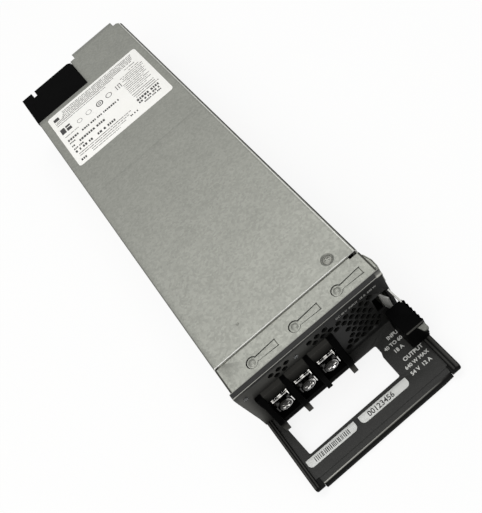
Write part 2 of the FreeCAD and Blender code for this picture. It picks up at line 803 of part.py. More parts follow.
def handle_frame():
    """Plate with a finger window, hemmed side rims and a turned-down front lip."""
    left = "window_left - handle_side"
    right = "handle_side - window_right"
    plate = box("handle_plate", ("-handle_side", "handle_side"), ("handle_end", "face"),
                ("plate_under", "plate_top"))
    tongue = box("handle_tongue", ("-tongue_side", "tongue_side"), ("face", "tongue_length"),
                 ("plate_under", "plate_top"))
    window = prism("handle_window", "XY",
                   [(left, "-window_start"), (f"{right} + window_step", "-window_start"),
                    (f"{right} + window_step", "-window_step_start"),
                    (right, "-window_step_start - 2 * window_step"), (right, "-window_end"),
                    (f"{left} + window_offset", "-window_end")], ("0", "2 * plate_height"))
    crease = box("handle_crease", ("lip_left - handle_side", "handle_side - lip_right"),
                 ("handle_end + lip_width", "handle_end + lip_width + crease_width"),
                 ("plate_top - crease_depth", "2 * plate_height"))
    end = number("handle_end")
    corners = []
    for side, span, edge in (("left", ("-handle_side", "lip_left - handle_side"), "-handle_side"),
                             ("right", ("handle_side - lip_right", "handle_side"), "handle_side")):
        block = box(f"handle_corner_block_{side}", span, ("handle_end", "handle_end + lip_width"),
                    ("plate_under", "plate_top"))
        corners.append(rounded(f"handle_corner_{side}", block, "window_round",
                               lambda first, second, edge=number(edge): near(first.x, edge)
                               and near(second.x, edge) and near(first.y, end) and near(second.y, end)))
    base = cut("handle_sheet", fuse("handle_flat", [plate, tongue]),
               [window, crease, box("handle_front_cut", ("-half", "half"),
                                    ("2 * handle_end", "handle_end + lip_width"),
                                    ("0", "2 * plate_height"))])
    lip_front = "handle_end - lip_proud"
    slope = prism("handle_lip", "YZ",
                  [("handle_end + lip_width", "plate_under"), ("handle_end + lip_width", "plate_top"),
                   ("handle_end", "plate_top - lip_drop"), (lip_front, "plate_top - 2 * lip_drop"),
                   (lip_front, "0"), (f"{lip_front} + plate_gauge", "0"),
                   (f"{lip_front} + plate_gauge", "plate_under - lip_drop")],
                  ("lip_left - handle_side", "handle_side - lip_right"))
    rim_top = number("plate_top + rim_height")
    rims = []
    for side, span in (("left", ("-handle_side", "rim_width - handle_side")),
                       ("right", ("handle_side - rim_width", "handle_side"))):
        rim = box("handle_rim_block_" + side, span, ("handle_end + window_round", "face"),
                  ("plate_top", "plate_top + rim_height"))
        rims.append(rounded("handle_rim_" + side, rim, "rim_round",
                            lambda first, second: near(first.z, rim_top) and near(second.z, rim_top)
                            and (near(first.x, second.x) or first.y < end / 2)))
    holes = [rod(f"handle_screw_hole_{side + 1}", "z", "handle_screw_shank + screw_play",
                 (f"{side} * (half - handle_screw_side)", "handle_screw_back"), ("0", "2 * plate_height"))
             for side in (-1, 1)]
    publish("handle_frame", cut("handle", fuse("handle_bent", [base, slope] + corners + rims), holes))
    spacers = []
    screws = []
    for side in (-1, 1):
        centre = (f"{side} * (half - handle_screw_side)", "handle_screw_back")
        blank = rod(f"handle_spacer_blank_{side + 1}", "z", "spacer_radius", centre,
                    ("sheet_gauge", "plate_under"))
        bore = rod(f"handle_spacer_bore_{side + 1}", "z", "handle_screw_shank + screw_play", centre,
                   ("0", "plate_height"))
        spacers.append(cut(f"handle_spacer_{side + 1}", blank, [bore]))
        screws.append(countersunk(f"handle_screw_{side + 1}", "z", -1, centre, "0", "handle_screw_head",
                                  "handle_screw_shank", "sheet_gauge", "plate_top"))
    publish("handle_spacers", group("handle_spacer_set", spacers))
    publish("handle_screws", group("handle_screw_set", screws))
    start = "handle_label_margin - handle_side"
    second = f"{start} + handle_label_left + handle_label_gap"
    label_front = number("-handle_label_start - handle_label_width")
    for node, low, width in (("handle_label_left", start, "handle_label_left"),
                             ("handle_label_right", second, "handle_label_right")):
        strip = box(node + "_strip", (low, f"{low} + {width}"),
                    ("-handle_label_start - handle_label_width", "-handle_label_start"),
                    ("plate_top", "plate_top + label_thickness"))
        publish(node, rounded(node + "_sheet", strip, "handle_label_round",
                              lambda first, second: near(first.x, second.x)
                              and near(first.y, label_front) and near(second.y, label_front)))


def terminal_x(index):
    """Centre of a terminal across the case."""
    return f"(first_terminal - half + {index} * terminal_pitch)"


def terminal_block():
    """Moulded barrier block, its bars, clamps, washers and screws."""
    wall = box("block_wall_plate", ("block_left", "block_right"), ("block_face", "face"),
               ("block_low", "block_top"))
    head = box("block_head_plate", ("block_left", "block_right"), ("block_face - block_brow", "face"),
               ("block_top - block_head", "block_top"))
    shelf = box("block_shelf_plate", ("block_left", "block_right"), ("face - block_shelf_reach", "face"),
                ("block_low", "block_low + block_shelf"))
    boss = box("block_boss", ("block_left + block_boss_inset", "block_right - block_boss_inset"),
               ("face", "face + block_boss_depth"), ("block_boss_low", "block_boss_high"))
    barriers = []
    for index in range(4):
        middle = f"{terminal_x(index)} - terminal_pitch / 2"
        reach = "barrier_short" if index == 2 else "barrier_reach"
        barriers.append(prism(f"barrier_{index}", "YZ",
                              [("face", "block_low"), (f"face - {reach}", "block_low"),
                               (f"face - {reach}", "barrier_shoulder"),
                               ("block_face - block_brow", "block_top"), ("face", "block_top")],
                              (f"{middle} - barrier_gauge / 2", f"{middle} + barrier_gauge / 2")))
    cuts = []
    for index, side in enumerate(("left", "middle", "right")):
        centre = terminal_x(index)
        axis = (centre, "terminal_height")
        through = ("2 * face", "face + 2 * block_boss_depth")
        cuts.append(box(f"bar_slot_{index}",
                        (f"{centre} - bar_tail / 2 - bar_play", f"{centre} + bar_tail / 2 + bar_play"),
                        through, ("bar_low - bar_play", "bar_low + bar_gauge + bar_play")))
        cuts.append(rod(f"screw_bore_{index}", "y", "screw_radius + screw_bore_play", axis, through))
        publish("terminal_bar_" + side, terminal_bar(side, centre, axis))
        publish("terminal_clamp_" + side, terminal_clamp(side, centre, axis))
        disc = rod(f"washer_disc_{side}", "y", "washer_radius", axis, ("washer_front", "washer_back"))
        bore = rod(f"washer_bore_{side}", "y", "screw_radius + screw_run", axis,
                   ("head_front", "washer_back + washer_gauge"))
        publish("terminal_washer_" + side, cut(f"washer_{side}", disc, [bore]))
        publish("terminal_screw_" + side, terminal_screw(side, centre, axis))
    publish("terminal_block", cut("block", fuse("block_moulding", [wall, head, shelf, boss] + barriers),
                                  cuts))


def terminal_bar(side, centre, axis):
    """Contact plate with two wire teeth, a tail through the block and a leg down to the board."""
    wide = (f"{centre} - bar_width / 2", f"{centre} + bar_width / 2")
    slim = (f"{centre} - bar_tail / 2", f"{centre} + bar_tail / 2")
    pieces = [
        box("bar_plate_" + side, wide, ("bar_face", "block_face"), ("bar_low", "bar_high")),
        box("bar_tail_" + side, slim, ("block_face", "bar_back"), ("bar_low", "bar_low + bar_gauge")),
        box("bar_leg_" + side, slim, ("bar_back - bar_gauge", "bar_back"),
            ("board_top", "bar_low + bar_gauge")),
    ]
    for step in (-1, 1):
        place = f"{centre} + {step} * tooth_spread"
        pieces.append(box(f"bar_tooth_{side}_{step + 1}",
                          (f"{place} - tooth_width / 2", f"{place} + tooth_width / 2"),
                          ("bar_face - tooth_depth", "bar_face"), ("bar_high - tooth_height", "bar_high")))
    hole = rod("bar_hole_" + side, "y", "screw_radius + screw_run", axis, ("2 * bar_face", "face"))
    return cut("bar_" + side, fuse("bar_strip_" + side, pieces), [hole])


def terminal_clamp(side, centre, axis):
    """Saddle clamp: a plate on the bar with an ear turned forward at each side."""
    low = "terminal_height - clamp_height / 2"
    high = "terminal_height + clamp_height / 2"
    pieces = [box("clamp_plate_" + side, (f"{centre} - clamp_width / 2", f"{centre} + clamp_width / 2"),
                  ("clamp_face", "bar_face"), (low, f"min({high}; bar_high - tooth_height)"))]
    for step in (-1, 1):
        edge = f"{centre} + {step} * (clamp_width - clamp_gauge) / 2"
        pieces.append(box(f"clamp_ear_{side}_{step + 1}",
                          (f"{edge} - clamp_gauge / 2", f"{edge} + clamp_gauge / 2"),
                          ("clamp_face - clamp_ear", "clamp_face"),
                          ("terminal_height - clamp_ear_height / 2",
                           "terminal_height + clamp_ear_height / 2")))
    hole = rod("clamp_hole_" + side, "y", "screw_radius + screw_bore_play", axis,
               ("2 * clamp_face", "face"))
    return cut("clamp_" + side, fuse("clamp_sheet_" + side, pieces), [hole])


def terminal_screw(side, centre, axis):
    """Pan-head screw with a cross recess, standing part way out of its bar."""
    head = taper("screw_head_" + side, "y", ("screw_head_crown", "screw_head_radius"), axis,
                 ("head_front", "washer_front"))
    shank = rod("screw_shank_" + side, "y", "screw_radius", axis,
                ("washer_front", "washer_front + screw_length"))
    arms = []
    for index, (wide, tall) in enumerate((("screw_cross / 2", "screw_cross_reach"),
                                          ("screw_cross_reach", "screw_cross / 2"))):
        arms.append(box(f"screw_cross_{side}_{index}", (f"{centre} - {wide}", f"{centre} + {wide}"),
                        ("head_front - screw_cross_depth", "head_front + screw_cross_depth"),
                        (f"terminal_height - {tall}", f"terminal_height + {tall}")))
    return cut("screw_" + side, fuse("screw_blank_" + side, [head, shank]), arms)


def leaf_strip(name, stations, up):
    """Strip of the latch leaf through stations (side, back), of one gauge across."""
    inner = [(f"{side} - leaf_gauge / 2", back) for side, back in stations]
    outer = [(f"{side} + leaf_gauge / 2", back) for side, back in reversed(stations)]
    return prism(name, "XY", inner + outer, up)


def release_latch():
    """Leaf with a hook through the side wall, its rivets, and the thumb cap."""
    slope = "leaf_offset / (leaf_tip_reach + 2 * face)"
    knee = ("slot_side", "2 * face")
    cap_edge = (f"slot_side + {slope} * (cap_start + 2 * face)", "-cap_start")
    strip = leaf_strip("leaf_strip", [("leaf_side", "leaf_pivot + leaf_tail"), ("leaf_side", "leaf_bend"),
                                      ("slot_side", "face / 2"), knee, cap_edge], ("leaf_low", "leaf_high"))
    tip = leaf_strip("leaf_tip", [("slot_side", "face - panel_gauge"), knee,
                                  ("slot_side + leaf_offset", "-leaf_tip_reach")],
                     ("leaf_tip_low", "leaf_tip_high"))
    hook_end = "hook_start + hook_length"
    peak = "half + hook_proud"
    hook = prism("leaf_hook", "XY",
                 [("leaf_side", "hook_start"), (f"{peak} - hook_proud / 6", "hook_start"),
                  (peak, "hook_start + hook_length / 8"),
                  (f"{peak} - hook_proud / 8", "hook_start + hook_length / 4"),
                  (f"{peak} - hook_proud / 2", "hook_start + hook_length / 2"),
                  ("half - leaf_gauge", "hook_start + 3 * hook_length / 4"), ("leaf_side", hook_end)],
                 ("hook_low", "hook_high"))
    holes = [rod(f"leaf_hole_{index}", "x", "rivet_radius + rivet_gap", ("leaf_pivot", level),
                 ("wall_in - overrun", "half"))
             for index, level in enumerate(("rivet_height", "rivet_height + rivet_spacing"))]
    spring = publish("latch_spring", cut("leaf", fuse("leaf_blank", [strip, tip, hook]), holes))
    rivets = []
    inner = "leaf_side - leaf_gauge / 2 - rivet_gap"
    for index, level in enumerate(("rivet_height", "rivet_height + rivet_spacing")):
        rivets.append(fuse(f"rivet_{index}", [
            rod(f"rivet_shank_{index}", "x", "rivet_radius", ("leaf_pivot", level), (inner, "wall_out")),
            rod(f"rivet_head_{index}", "x", "rivet_head", ("leaf_pivot", level),
                (f"{inner} - rivet_head_height", inner))]))
    publish("latch_rivets", group("rivet_set", rivets))
    blank = box("cap_blank", ("cap_inner", "cap_outer"), ("cap_front", "cap_rear"), ("cap_low", "cap_high"))
    cap_top = number("cap_high")
    block = rounded("cap_block", blank, "cap_round",
                    lambda first, second: near(first.x, second.x) and near(first.y, second.y)
                    or near(first.z, cap_top) and near(second.z, cap_top))
    ribs = []
    for index in range(int(number("rib_count"))):
        back = f"(cap_front + cap_rear) / 2 + ({index} - (rib_count - 1) / 2) * rib_pitch"
        ribs.append(rod(f"cap_rib_{index}", "z", "rib_radius", ("cap_outer", back),
                        ("cap_low + cap_round", "cap_high - cap_round")))
    publish("latch_cap", cut("cap", fuse("cap_moulding", [block] + ribs), [spring]))


def cooling_fan():
    """Square fan frame with bearing tube, stator, rotor and screws."""
    centre = ("fan_x", "fan_z")
    frame = box("fan_square", ("fan_left", "fan_right"), ("fan_front", "fan_rear"),
                ("sheet_gauge + fan_gap", "lid_under - fan_gap"))
    through = ("fan_front - overrun", "fan_rear + overrun")
    bore = rod("fan_throat", "y", "fan_bore", centre, through)
    holes = [rod(f"fan_hole_{across + 1}_{level + 1}", "y", "fan_screw_shank + fan_screw_play",
                 fan_corner(across, level), through) for across in (-1, 1) for level in (-1, 1)]
    ring = cut("fan_ring", frame, [bore] + holes)
    plate = rod("fan_motor_plate", "y", "fan_hub", centre, ("fan_rear - fan_plate", "fan_rear"))
    reach = "fan_bore + fan_rim / 2"
    behind = ("fan_rear - fan_plate", "fan_rear")
    struts = [box("fan_strut_flat", (f"fan_x - ({reach})", f"fan_x + {reach}"), behind,
                  ("fan_z - fan_strut / 2", "fan_z + fan_strut / 2")),
              box("fan_strut_upright", ("fan_x - fan_strut / 2", "fan_x + fan_strut / 2"), behind,
                  (f"fan_z - ({reach})", f"fan_z + {reach}"))]
    tube = rod("fan_bearing", "y", "fan_tube", centre,
               ("fan_rear - fan_plate - fan_tube_length", "fan_rear - fan_plate"))
    shaft_hole = rod("fan_bearing_bore", "y", "fan_shaft + fan_run", centre, through)
    publish("fan_housing", cut("fan_frame", fuse("fan_moulding", [ring, plate, tube] + struts),
                               [shaft_hole]))
    stack = rod("stator_stack", "y", "fan_stator_radius", centre,
                ("fan_rear - fan_plate - fan_stator_length", "fan_rear - fan_plate"))
    stator_bore = rod("stator_bore", "y", "fan_tube + fan_run", centre, ("fan_front", "fan_rear"))
    publish("fan_stator", cut("stator", stack, [stator_bore]))
    cup_front = "fan_front + fan_cup_start"
    cup = cut("fan_cup", rod("fan_cup_blank", "y", "fan_hub", centre,
                             (cup_front, f"{cup_front} + fan_cup_length")),
              [rod("fan_cup_hollow", "y", "fan_hub - fan_hub_wall", centre,
                   (f"{cup_front} + 2 * fan_hub_wall", "fan_rear"))])
    shaft = rod("fan_pin", "y", "fan_shaft", centre, (cup_front, "fan_rear - fan_plate / 2"))
    blades = []
    count = int(number("fan_blade_count"))
    for index in range(count):
        blade = doc.addObject("Part::Box", f"fan_blade_{index}")
        bind(blade, "Length", "fan_blade_chord")
        bind(blade, "Width", "fan_blade_gauge")
        bind(blade, "Height", "fan_bore - fan_tip_gap - fan_hub + fan_hub_wall / 2")
        lean = FreeCAD.Rotation(FreeCAD.Vector(0, 0, 1), number("fan_blade_angle"))
        spoke = FreeCAD.Rotation(FreeCAD.Vector(0, 1, 0), index * 360 / count)
        offset = FreeCAD.Vector(-number("fan_blade_chord") / 2, -number("fan_blade_gauge") / 2, 0)
        middle = FreeCAD.Vector(number("fan_x"), number(f"{cup_front} + fan_cup_length / 2"),
                                number("fan_z"))
        lift = FreeCAD.Vector(0, 0, number("fan_hub - fan_hub_wall / 2"))
        blade.Placement = FreeCAD.Placement(middle + spoke.multVec(lift + lean.multVec(offset)),
                                            spoke.multiply(lean))
        blades.append(blade)
    keep = rod("fan_sweep", "y", "fan_bore - fan_tip_gap", centre, ("fan_front", "fan_rear"))
    trimmed = doc.addObject("Part::MultiCommon", "fan_blades")
    trimmed.Shapes = [fuse("fan_blade_set", blades + [cup]), keep]
    publish("fan_rotor", fuse("rotor", [trimmed, shaft]))
    screws = []
    for across in (-1, 1):
        for level in (-1, 1):
            place = fan_corner(across, level)
            start = "fan_front - sheet_gauge"
            screws.append(fuse(f"fan_screw_{across + 1}_{level + 1}", [
                rod(f"fan_screw_head_{across + 1}_{level + 1}", "y", "fan_screw_head", place,
                    (f"{start} - fan_screw_head_height", start)),
                rod(f"fan_screw_shank_{across + 1}_{level + 1}", "y", "fan_screw_shank", place,
                    (start, f"{start} + fan_screw_length"))]))
    publish("fan_screws", group("fan_screw_set", screws))


def board_points():
    """Places of the board's spacers and screws."""
    side = "(board_side - spacer_inset)"
    rear = "board_rear - spacer_inset"
    return [(f"-{side}", "tongue_length + 2 * spacer_shank"),
            (f"-{side}", f"{rear} - blade_front - spacer_inset"),
            (side, rear),
            (side, "board_bay + spacer_inset"),
            (f"-{side}", "(board_bay + board_rear) / 2"),
            (side, "stage_three - spacer_inset")]


def main_board():
    """Stepped circuit board on spacers above an insulating sheet."""
    points = board_points()
    outline = prism("board_outline", "XY",
                    [("-board_side", "board_start"), ("block_right - block_margin", "board_start"),
                     ("block_right - block_margin", "board_step"),
                     ("fan_left - board_fan_gap", "board_step"),
                     ("fan_left - board_fan_gap", "board_bay"), ("board_side", "board_bay"),
                     ("board_side", "board_rear"), ("-board_side", "board_rear")],
                    ("board_height", "board_top"))
    holes = [rod(f"board_hole_{index}", "z", "board_screw_radius + screw_play", point,
                 ("0", "2 * board_top"))
             for index, point in enumerate(points)]
    publish("main_board", cut("board", outline, holes))
    sheet = box("insulation", ("-board_side", "board_side"), ("board_bay", "board_rear"),
                ("sheet_gauge", "sheet_gauge + sheet_insulation"))
    clear = [rod(f"insulation_hole_{index}", "z", "spacer_shank + fan_screw_play", point,
                 ("0", "board_height"))
             for index, point in enumerate(points)]
    publish("insulating_sheet", cut("insulation_cut", sheet, clear))
    spacers = []
    screws = []
    for index, point in enumerate(points):
        blank = rod(f"board_spacer_blank_{index}", "z", "spacer_shank", point,
                    ("sheet_gauge", "board_height"))
        bore = rod(f"board_spacer_bore_{index}", "z", "board_screw_radius + screw_play", point,
                   ("board_top - board_screw_grip - board_gauge", "board_top"))
        spacers.append(cut(f"board_spacer_{index}", blank, [bore]))
        screws.append(fuse(f"board_screw_{index}", [
            rod(f"board_screw_head_{index}", "z", "board_screw_head", point,
                ("board_top", "board_top + board_screw_head_height")),
            rod(f"board_screw_shank_{index}", "z", "board_screw_radius", point,
                ("board_top - board_screw_grip", "board_top"))]))
    publish("board_spacers", group("board_spacer_set", spacers))
    publish("board_screws", group("board_screw_set", screws))


def input_filter():
    """Fuse, common-mode choke on its base, and film capacitors."""
    start = "tongue_length + 4 * spacer_shank"
    level = "board_top + fuse_radius + fuse_lift"
    pieces = [rod("fuse_glass", "y", "fuse_radius", ("fuse_x", level), (start, f"{start} + fuse_length"))]
    for index, place in enumerate((start, f"{start} + fuse_length - fuse_radius")):
        pieces.append(box(f"fuse_clip_{index}", ("fuse_x - fuse_radius / 2", "fuse_x + fuse_radius / 2"),
                          (place, f"{place} + fuse_radius"), ("board_top", level)))
    publish("input_fuse", fuse("fuse_cartridge", pieces))
    choke_x = "(choke_left + choke_right) / 2"
    choke_y = "(board_bay - part_gap - choke_reach)"
    base_top = "board_top + choke_base"
    publish("input_choke_base", box("choke_tray", ("choke_left", "choke_right"),
                                    (f"{choke_y} - choke_reach", f"{choke_y} + choke_reach"),
                                    ("board_top", base_top)))
    publish("input_choke_core", torus("choke_ring", "choke_radius", "choke_tube", choke_x, choke_y,
                                      base_top))
    films = []
    for index in (1, 2):
        low = f"{terminal_x(index)} - film_width / 2"
        front = "bar_back + part_gap"
        films.append(box(f"film_{index}", (low, f"{low} + film_width"), (front, f"{front} + film_length"),
                         ("board_top", "board_top + film_height")))
    publish("film_capacitors", group("film_set", films))


def torus(name, radius, tube, across, along, seat):
    """Wound ring lying on its seat."""
    ring = doc.addObject("Part::Torus", name)
    bind(ring, "Radius1", radius)
    bind(ring, "Radius2", tube)
    bind(ring, "Placement.Base.x", across)
    bind(ring, "Placement.Base.y", along)
    bind(ring, "Placement.Base.z", f"{seat} + {tube}")
    return ring


def heatsink(node, side, start):
    """Finned extrusion along a side of the case, fins towards the wall, and its transistors."""
    inner = "sink_side"
    plate = (inner, f"{inner} + sink_base")
    fins = (f"{inner} + sink_base", f"{inner} + sink_base + sink_fin")
    body = ("switch_face", inner)
    if side < 0:
        plate, fins, body = [(f"-({high})", f"-({low})") for low, high in (plate, fins, body)]
    end = f"{start} + sink_length"
    pieces = [box(node + "_plate", plate, (start, end), ("board_top", "board_top + sink_height"))]
    for index in range(int(number("sink_fin_count"))):
        low = f"board_top + (sink_height - sink_fin_gauge) * {index} / (sink_fin_count - 1)"
        pieces.append(box(f"{node}_fin_{index}", fins, (start, end), (low, f"{low} + sink_fin_gauge")))
    publish(node + "_heatsink", fuse(node + "_extrusion", pieces))
    switches = []
    for index in (-1, 0, 1):
        middle = f"{start} + sink_length / 2 + {index} * switch_pitch"
        switches.append(box(f"{node}_switch_{index + 1}", body,
                            (f"{middle} - switch_width / 2", f"{middle} + switch_width / 2"),
                            ("board_top", "board_top + switch_height")))
    publish(node + "_transistors", group(node + "_switch_set", switches))


def converter():
    """Capacitors, transformer, heatsinks, inductor, output cans and control card."""
    heatsink("primary", -1, "stage_one + spacer_inset")
    heatsink("secondary", 1, "stage_three")
    cans = []
    for index in range(3):
        across = f"bulk_left + bulk_radius + {index} * (2 * bulk_radius + bulk_space)"
        cans.append(rod(f"bulk_{index}", "z", "bulk_radius", (across, "stage_one + bulk_radius"),
                        ("board_top", "board_top + bulk_height")))
    publish("bulk_capacitors", group("bulk_set", cans))
    core_high = "board_top + core_height"
    leg = "core_leg / 2"
    window = f"(core_side - {leg} - core_yoke)"
    core = box("core_block", ("-core_side", "core_side"), ("stage_two", "stage_two + core_length"),
               ("board_top", core_high))
    windows = [box(f"core_window_{index}", (low, f"{low} + {window}"),
                   ("stage_two - overrun", "stage_two + core_length + overrun"),
                   ("board_top + core_yoke", f"{core_high} - core_yoke"))
               for index, low in enumerate((leg, f"-{leg} - {window}"))]
    publish("transformer_core", cut("core", core, windows))
    reach = f"({leg} + {window} - coil_play)"
    coil = box("coil_block", (f"-{reach}", reach),
               ("stage_two - coil_overhang", "stage_two + core_length + coil_overhang"),
               ("board_top + core_yoke + coil_play", f"{core_high} - core_yoke - coil_play"))
    bore = box("coil_bore", (f"-{leg} - coil_play", f"{leg} + coil_play"),
               ("stage_two - coil_play", "stage_two + core_length + coil_play"), ("0", "body_height"))
    publish("transformer_winding", cut("coil", coil, [bore]))
    ring_x = "ring_tube - ring_radius"
    ring_y = "stage_three + ring_radius + ring_tube"
    publish("output_inductor", torus("inductor_ring", "ring_radius", "ring_tube", ring_x, ring_y,
                                     "board_top"))
    can_y = f"{ring_y} + ring_radius + ring_tube + part_gap + output_radius"
    outputs = []
    for index in range(4):
        across = f"output_left + output_radius + {index} * (2 * output_radius + output_can_space)"
        outputs.append(rod(f"output_can_{index}", "z", "output_radius", (across, can_y),
                           ("board_top", "board_top + output_can_height")))
    publish("output_capacitors", group("output_can_set", outputs))
    card_y = f"{can_y} + output_radius + part_gap"
    publish("control_board", box("control_card",
                                 ("-card_width / 2 - part_gap", "card_width / 2 - part_gap"),
                                 (card_y, f"{card_y} + card_gauge"),
                                 ("board_top", "board_top + card_height")))


def rear_connector():
    """Blind-mate housing with a keyed mouth, power blades and signal pins."""
    block = prism("connector_block", "XY",
                  [("connector_left", "connector_front"), ("connector_right", "connector_front"),
                   ("connector_right", "connector_end - mouth_chamfer"),
                   ("connector_right - mouth_chamfer", "connector_end"),
                   ("connector_left", "connector_end")],
                  ("sheet_gauge", "connector_high"))
    cuts = [box("connector_mouth", ("connector_left + connector_wall", "connector_right - connector_wall"),
                ("mouth_back", "2 * case_rear"),
                ("sheet_gauge + connector_wall", "connector_high - connector_wall")),
            box("connector_key", ("connector_left + key_side", "connector_left + key_side + key_width"),
                ("connector_end - key_depth", "2 * case_rear"),
                ("connector_high - 2 * connector_wall", "2 * body_height"))]
    blades = []
    for index in range(int(number("blade_count"))):
        low = f"connector_left + connector_wall + blade_inset + {index} * blade_pitch"
        span = (low, f"{low} + blade_gauge")
        blades.append(box(f"blade_{index}", span, ("board_rear - blade_front", "mouth_back + blade_reach"),
                          ("board_top", "board_top + blade_height")))
        cuts.append(box(f"blade_slot_{index}", (f"{low} - blade_play", f"{low} + blade_gauge + blade_play"),
                        ("notch_front", "mouth_back + overrun"),
                        ("board_top - blade_play", "board_top + blade_height + blade_play")))
    pins = []
    start = "connector_left + connector_wall + blade_inset + blade_count * blade_pitch"
    for column in range(int(number("pin_columns"))):
        for line in range(int(number("pin_rows"))):
            low = f"{start} + {column} * pin_pitch"
            bottom = f"pin_height + {line} * pin_pitch"
            pins.append(box(f"pin_{column}_{line}", (low, f"{low} + pin_gauge"),
                            ("connector_front", "mouth_back + blade_reach"),
                            (bottom, f"{bottom} + pin_gauge")))
            cuts.append(box(f"pin_slot_{column}_{line}", (low, f"{low} + pin_gauge"),
                            ("notch_front", "mouth_back + overrun"), (bottom, f"{bottom} + pin_gauge")))
    publish("connector_housing", cut("connector", block, cuts))
    publish("power_contacts", group("blade_set", blades))
    publish("signal_contacts", group("pin_set", pins))


chassis_base()
front_collar()
top_cover()
front_panel()
handle_frame()
terminal_block()
release_latch()
cooling_fan()
main_board()
input_filter()
converter()
rear_connector()

doc.recompute()
faults = [item.Label for item in doc.Objects if "Invalid" in item.State or "Error" in item.State]
for item in nodes:
    if item.Shape.isNull() or not item.Shape.isValid() or not item.Shape.Solids:
        faults.append(item.Label)
if faults:
    raise RuntimeError("failed pieces: " + ", ".join(faults))

os.makedirs("parts", exist_ok=True)
for item in nodes:
    item.Shape.exportStep(os.path.join("parts", item.Label + ".step"))
    print(item.Label, len(item.Shape.Solids), "solid,", round(item.Shape.Volume, 1), "mm3")
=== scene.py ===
import json

import bmesh
import bpy
import numpy as np
from mathutils import Matrix


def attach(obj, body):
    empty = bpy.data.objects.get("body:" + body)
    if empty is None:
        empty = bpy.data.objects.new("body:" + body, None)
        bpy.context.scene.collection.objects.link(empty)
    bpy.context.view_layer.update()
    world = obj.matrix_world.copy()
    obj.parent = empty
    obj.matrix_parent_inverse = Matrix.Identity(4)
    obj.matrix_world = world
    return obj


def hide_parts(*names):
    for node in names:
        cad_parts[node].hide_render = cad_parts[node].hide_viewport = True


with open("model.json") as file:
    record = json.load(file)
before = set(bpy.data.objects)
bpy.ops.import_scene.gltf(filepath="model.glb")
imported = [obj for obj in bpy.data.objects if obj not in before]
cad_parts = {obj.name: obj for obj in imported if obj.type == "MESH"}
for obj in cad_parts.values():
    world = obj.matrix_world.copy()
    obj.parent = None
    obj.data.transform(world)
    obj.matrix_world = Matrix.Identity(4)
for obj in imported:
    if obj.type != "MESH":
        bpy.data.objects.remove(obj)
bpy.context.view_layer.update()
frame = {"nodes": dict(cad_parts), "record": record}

# Slide-in DC power supply. All sizes below are in millimetres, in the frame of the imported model:
# +X to the latch side, +Y from the panel to the rear connector, +Z up from the underside.
mm = 0.001
cad = frame["nodes"]
scatter = np.random.default_rng(11)  # fixed seed, so that every run prints the same marks
paint = {}


def linear(text):
    # sRGB to linear: x / 12.92 up to 0.04045, above it ((x + 0.055) / 1.055) to the power 2.4
    part = np.array([int(text[place:place + 2], 16) for place in (1, 3, 5)]) / 255
    return (*np.where(part <= 0.04045, part / 12.92, ((part + 0.055) / 1.055) ** 2.4), 1.0)


def emptyTree(owner):
    # the node tree of a material or world, with nothing in it
    owner.use_nodes = True
    owner.node_tree.nodes.clear()
    return owner.node_tree


def addNode(tree, kind, settings=None, links=None):
    # lower-case keys are the node's own settings, the others are its sockets
    node = tree.nodes.new("ShaderNode" + kind)
    for key, value in (settings or {}).items():
        if isinstance(key, str) and key[0].islower():
            setattr(node, key, value)
        else:
            node.inputs[key].default_value = value
    for key, (source, output) in (links or {}).items():
        tree.links.new(source.outputs[output], node.inputs[key])
    return node


def addFinish(name, base, second, rough, sizes, metallic=0.0, stretch=(1, 1, 1), spangle=None, cloudShare=0.5,
              spread=(0.3, 0.7), wearAndLight=None, specular=None, glass=None):
    # sizes are of grain, clouds and bump; tone = share of clouds + the rest of grain, stretched to 0..1;
    # colour goes from base to second and roughness from its first to its second value with that tone;
    # the grain is also the bump's height; spangle mixes flakes of a size with it by a share;
    # wearAndLight is a colour mixed in by the attribute of that name; it lays painted highlights and painted
    # shade
    grainMm, cloudMm, bumpMm = sizes
    material = paint[name] = bpy.data.materials.new(name)
    tree = emptyTree(material)
    place = addNode(tree, "TexCoord")
    turned = addNode(tree, "Mapping", {"Scale": stretch}, {"Vector": (place, "Object")})
    clouds, grain = [
        addNode(tree, "TexNoise", {"Scale": 1 / (wide * mm), "Detail": detail, "Roughness": fine},
                {"Vector": (turned, 0)})
        for wide, detail, fine in ((cloudMm, 4.0, 0.55), (grainMm, 3.0, 0.65))]
    if spangle:
        flakes = addNode(tree, "TexVoronoi", {"Scale": 1 / (spangle[0] * mm), "Randomness": 1.0},
                         {"Vector": (turned, 0)})
        split = addNode(tree, "SeparateColor", {}, {"Color": (flakes, "Color")})
        grain = addNode(tree, "Mix", {0: spangle[1]}, {2: (split, 0), 3: (grain, 0)})
    tone = addNode(tree, "Mix", {0: cloudShare}, {2: (grain, 0), 3: (clouds, 0)})
    share = addNode(tree, "MapRange", {"From Min": spread[0], "From Max": spread[1]}, {"Value": (tone, 0)})
    colour = addNode(tree, "Mix", {"data_type": "RGBA", 6: linear(base), 7: linear(second)}, {0: (share, 0)})
    if wearAndLight:
        worn = addNode(tree, "Attribute", {"attribute_name": "wearAndLight"})
        colour = addNode(tree, "Mix", {"data_type": "RGBA", 7: linear(wearAndLight)},
                         {0: (worn, "Fac"), 6: (colour, 2)})
    matt = addNode(tree, "MapRange", {"To Min": rough[0], "To Max": rough[1]}, {"Value": (share, 0)})
    bump = addNode(tree, "Bump", {"Distance": bumpMm * mm, "Strength": 1.0}, {"Height": (grain, 0)})
    sockets = {"Metallic": metallic}
    if specular is not None:
        sockets["Specular IOR Level"] = specular
    if glass:
        sockets["Transmission Weight"], sockets["IOR"] = glass
    surface = addNode(tree, "BsdfPrincipled", sockets,
                      {"Base Color": (colour, 2), "Roughness": (matt, 0), "Normal": (bump, 0)})
    addNode(tree, "OutputMaterial", {}, {"Surface": (surface, 0)})
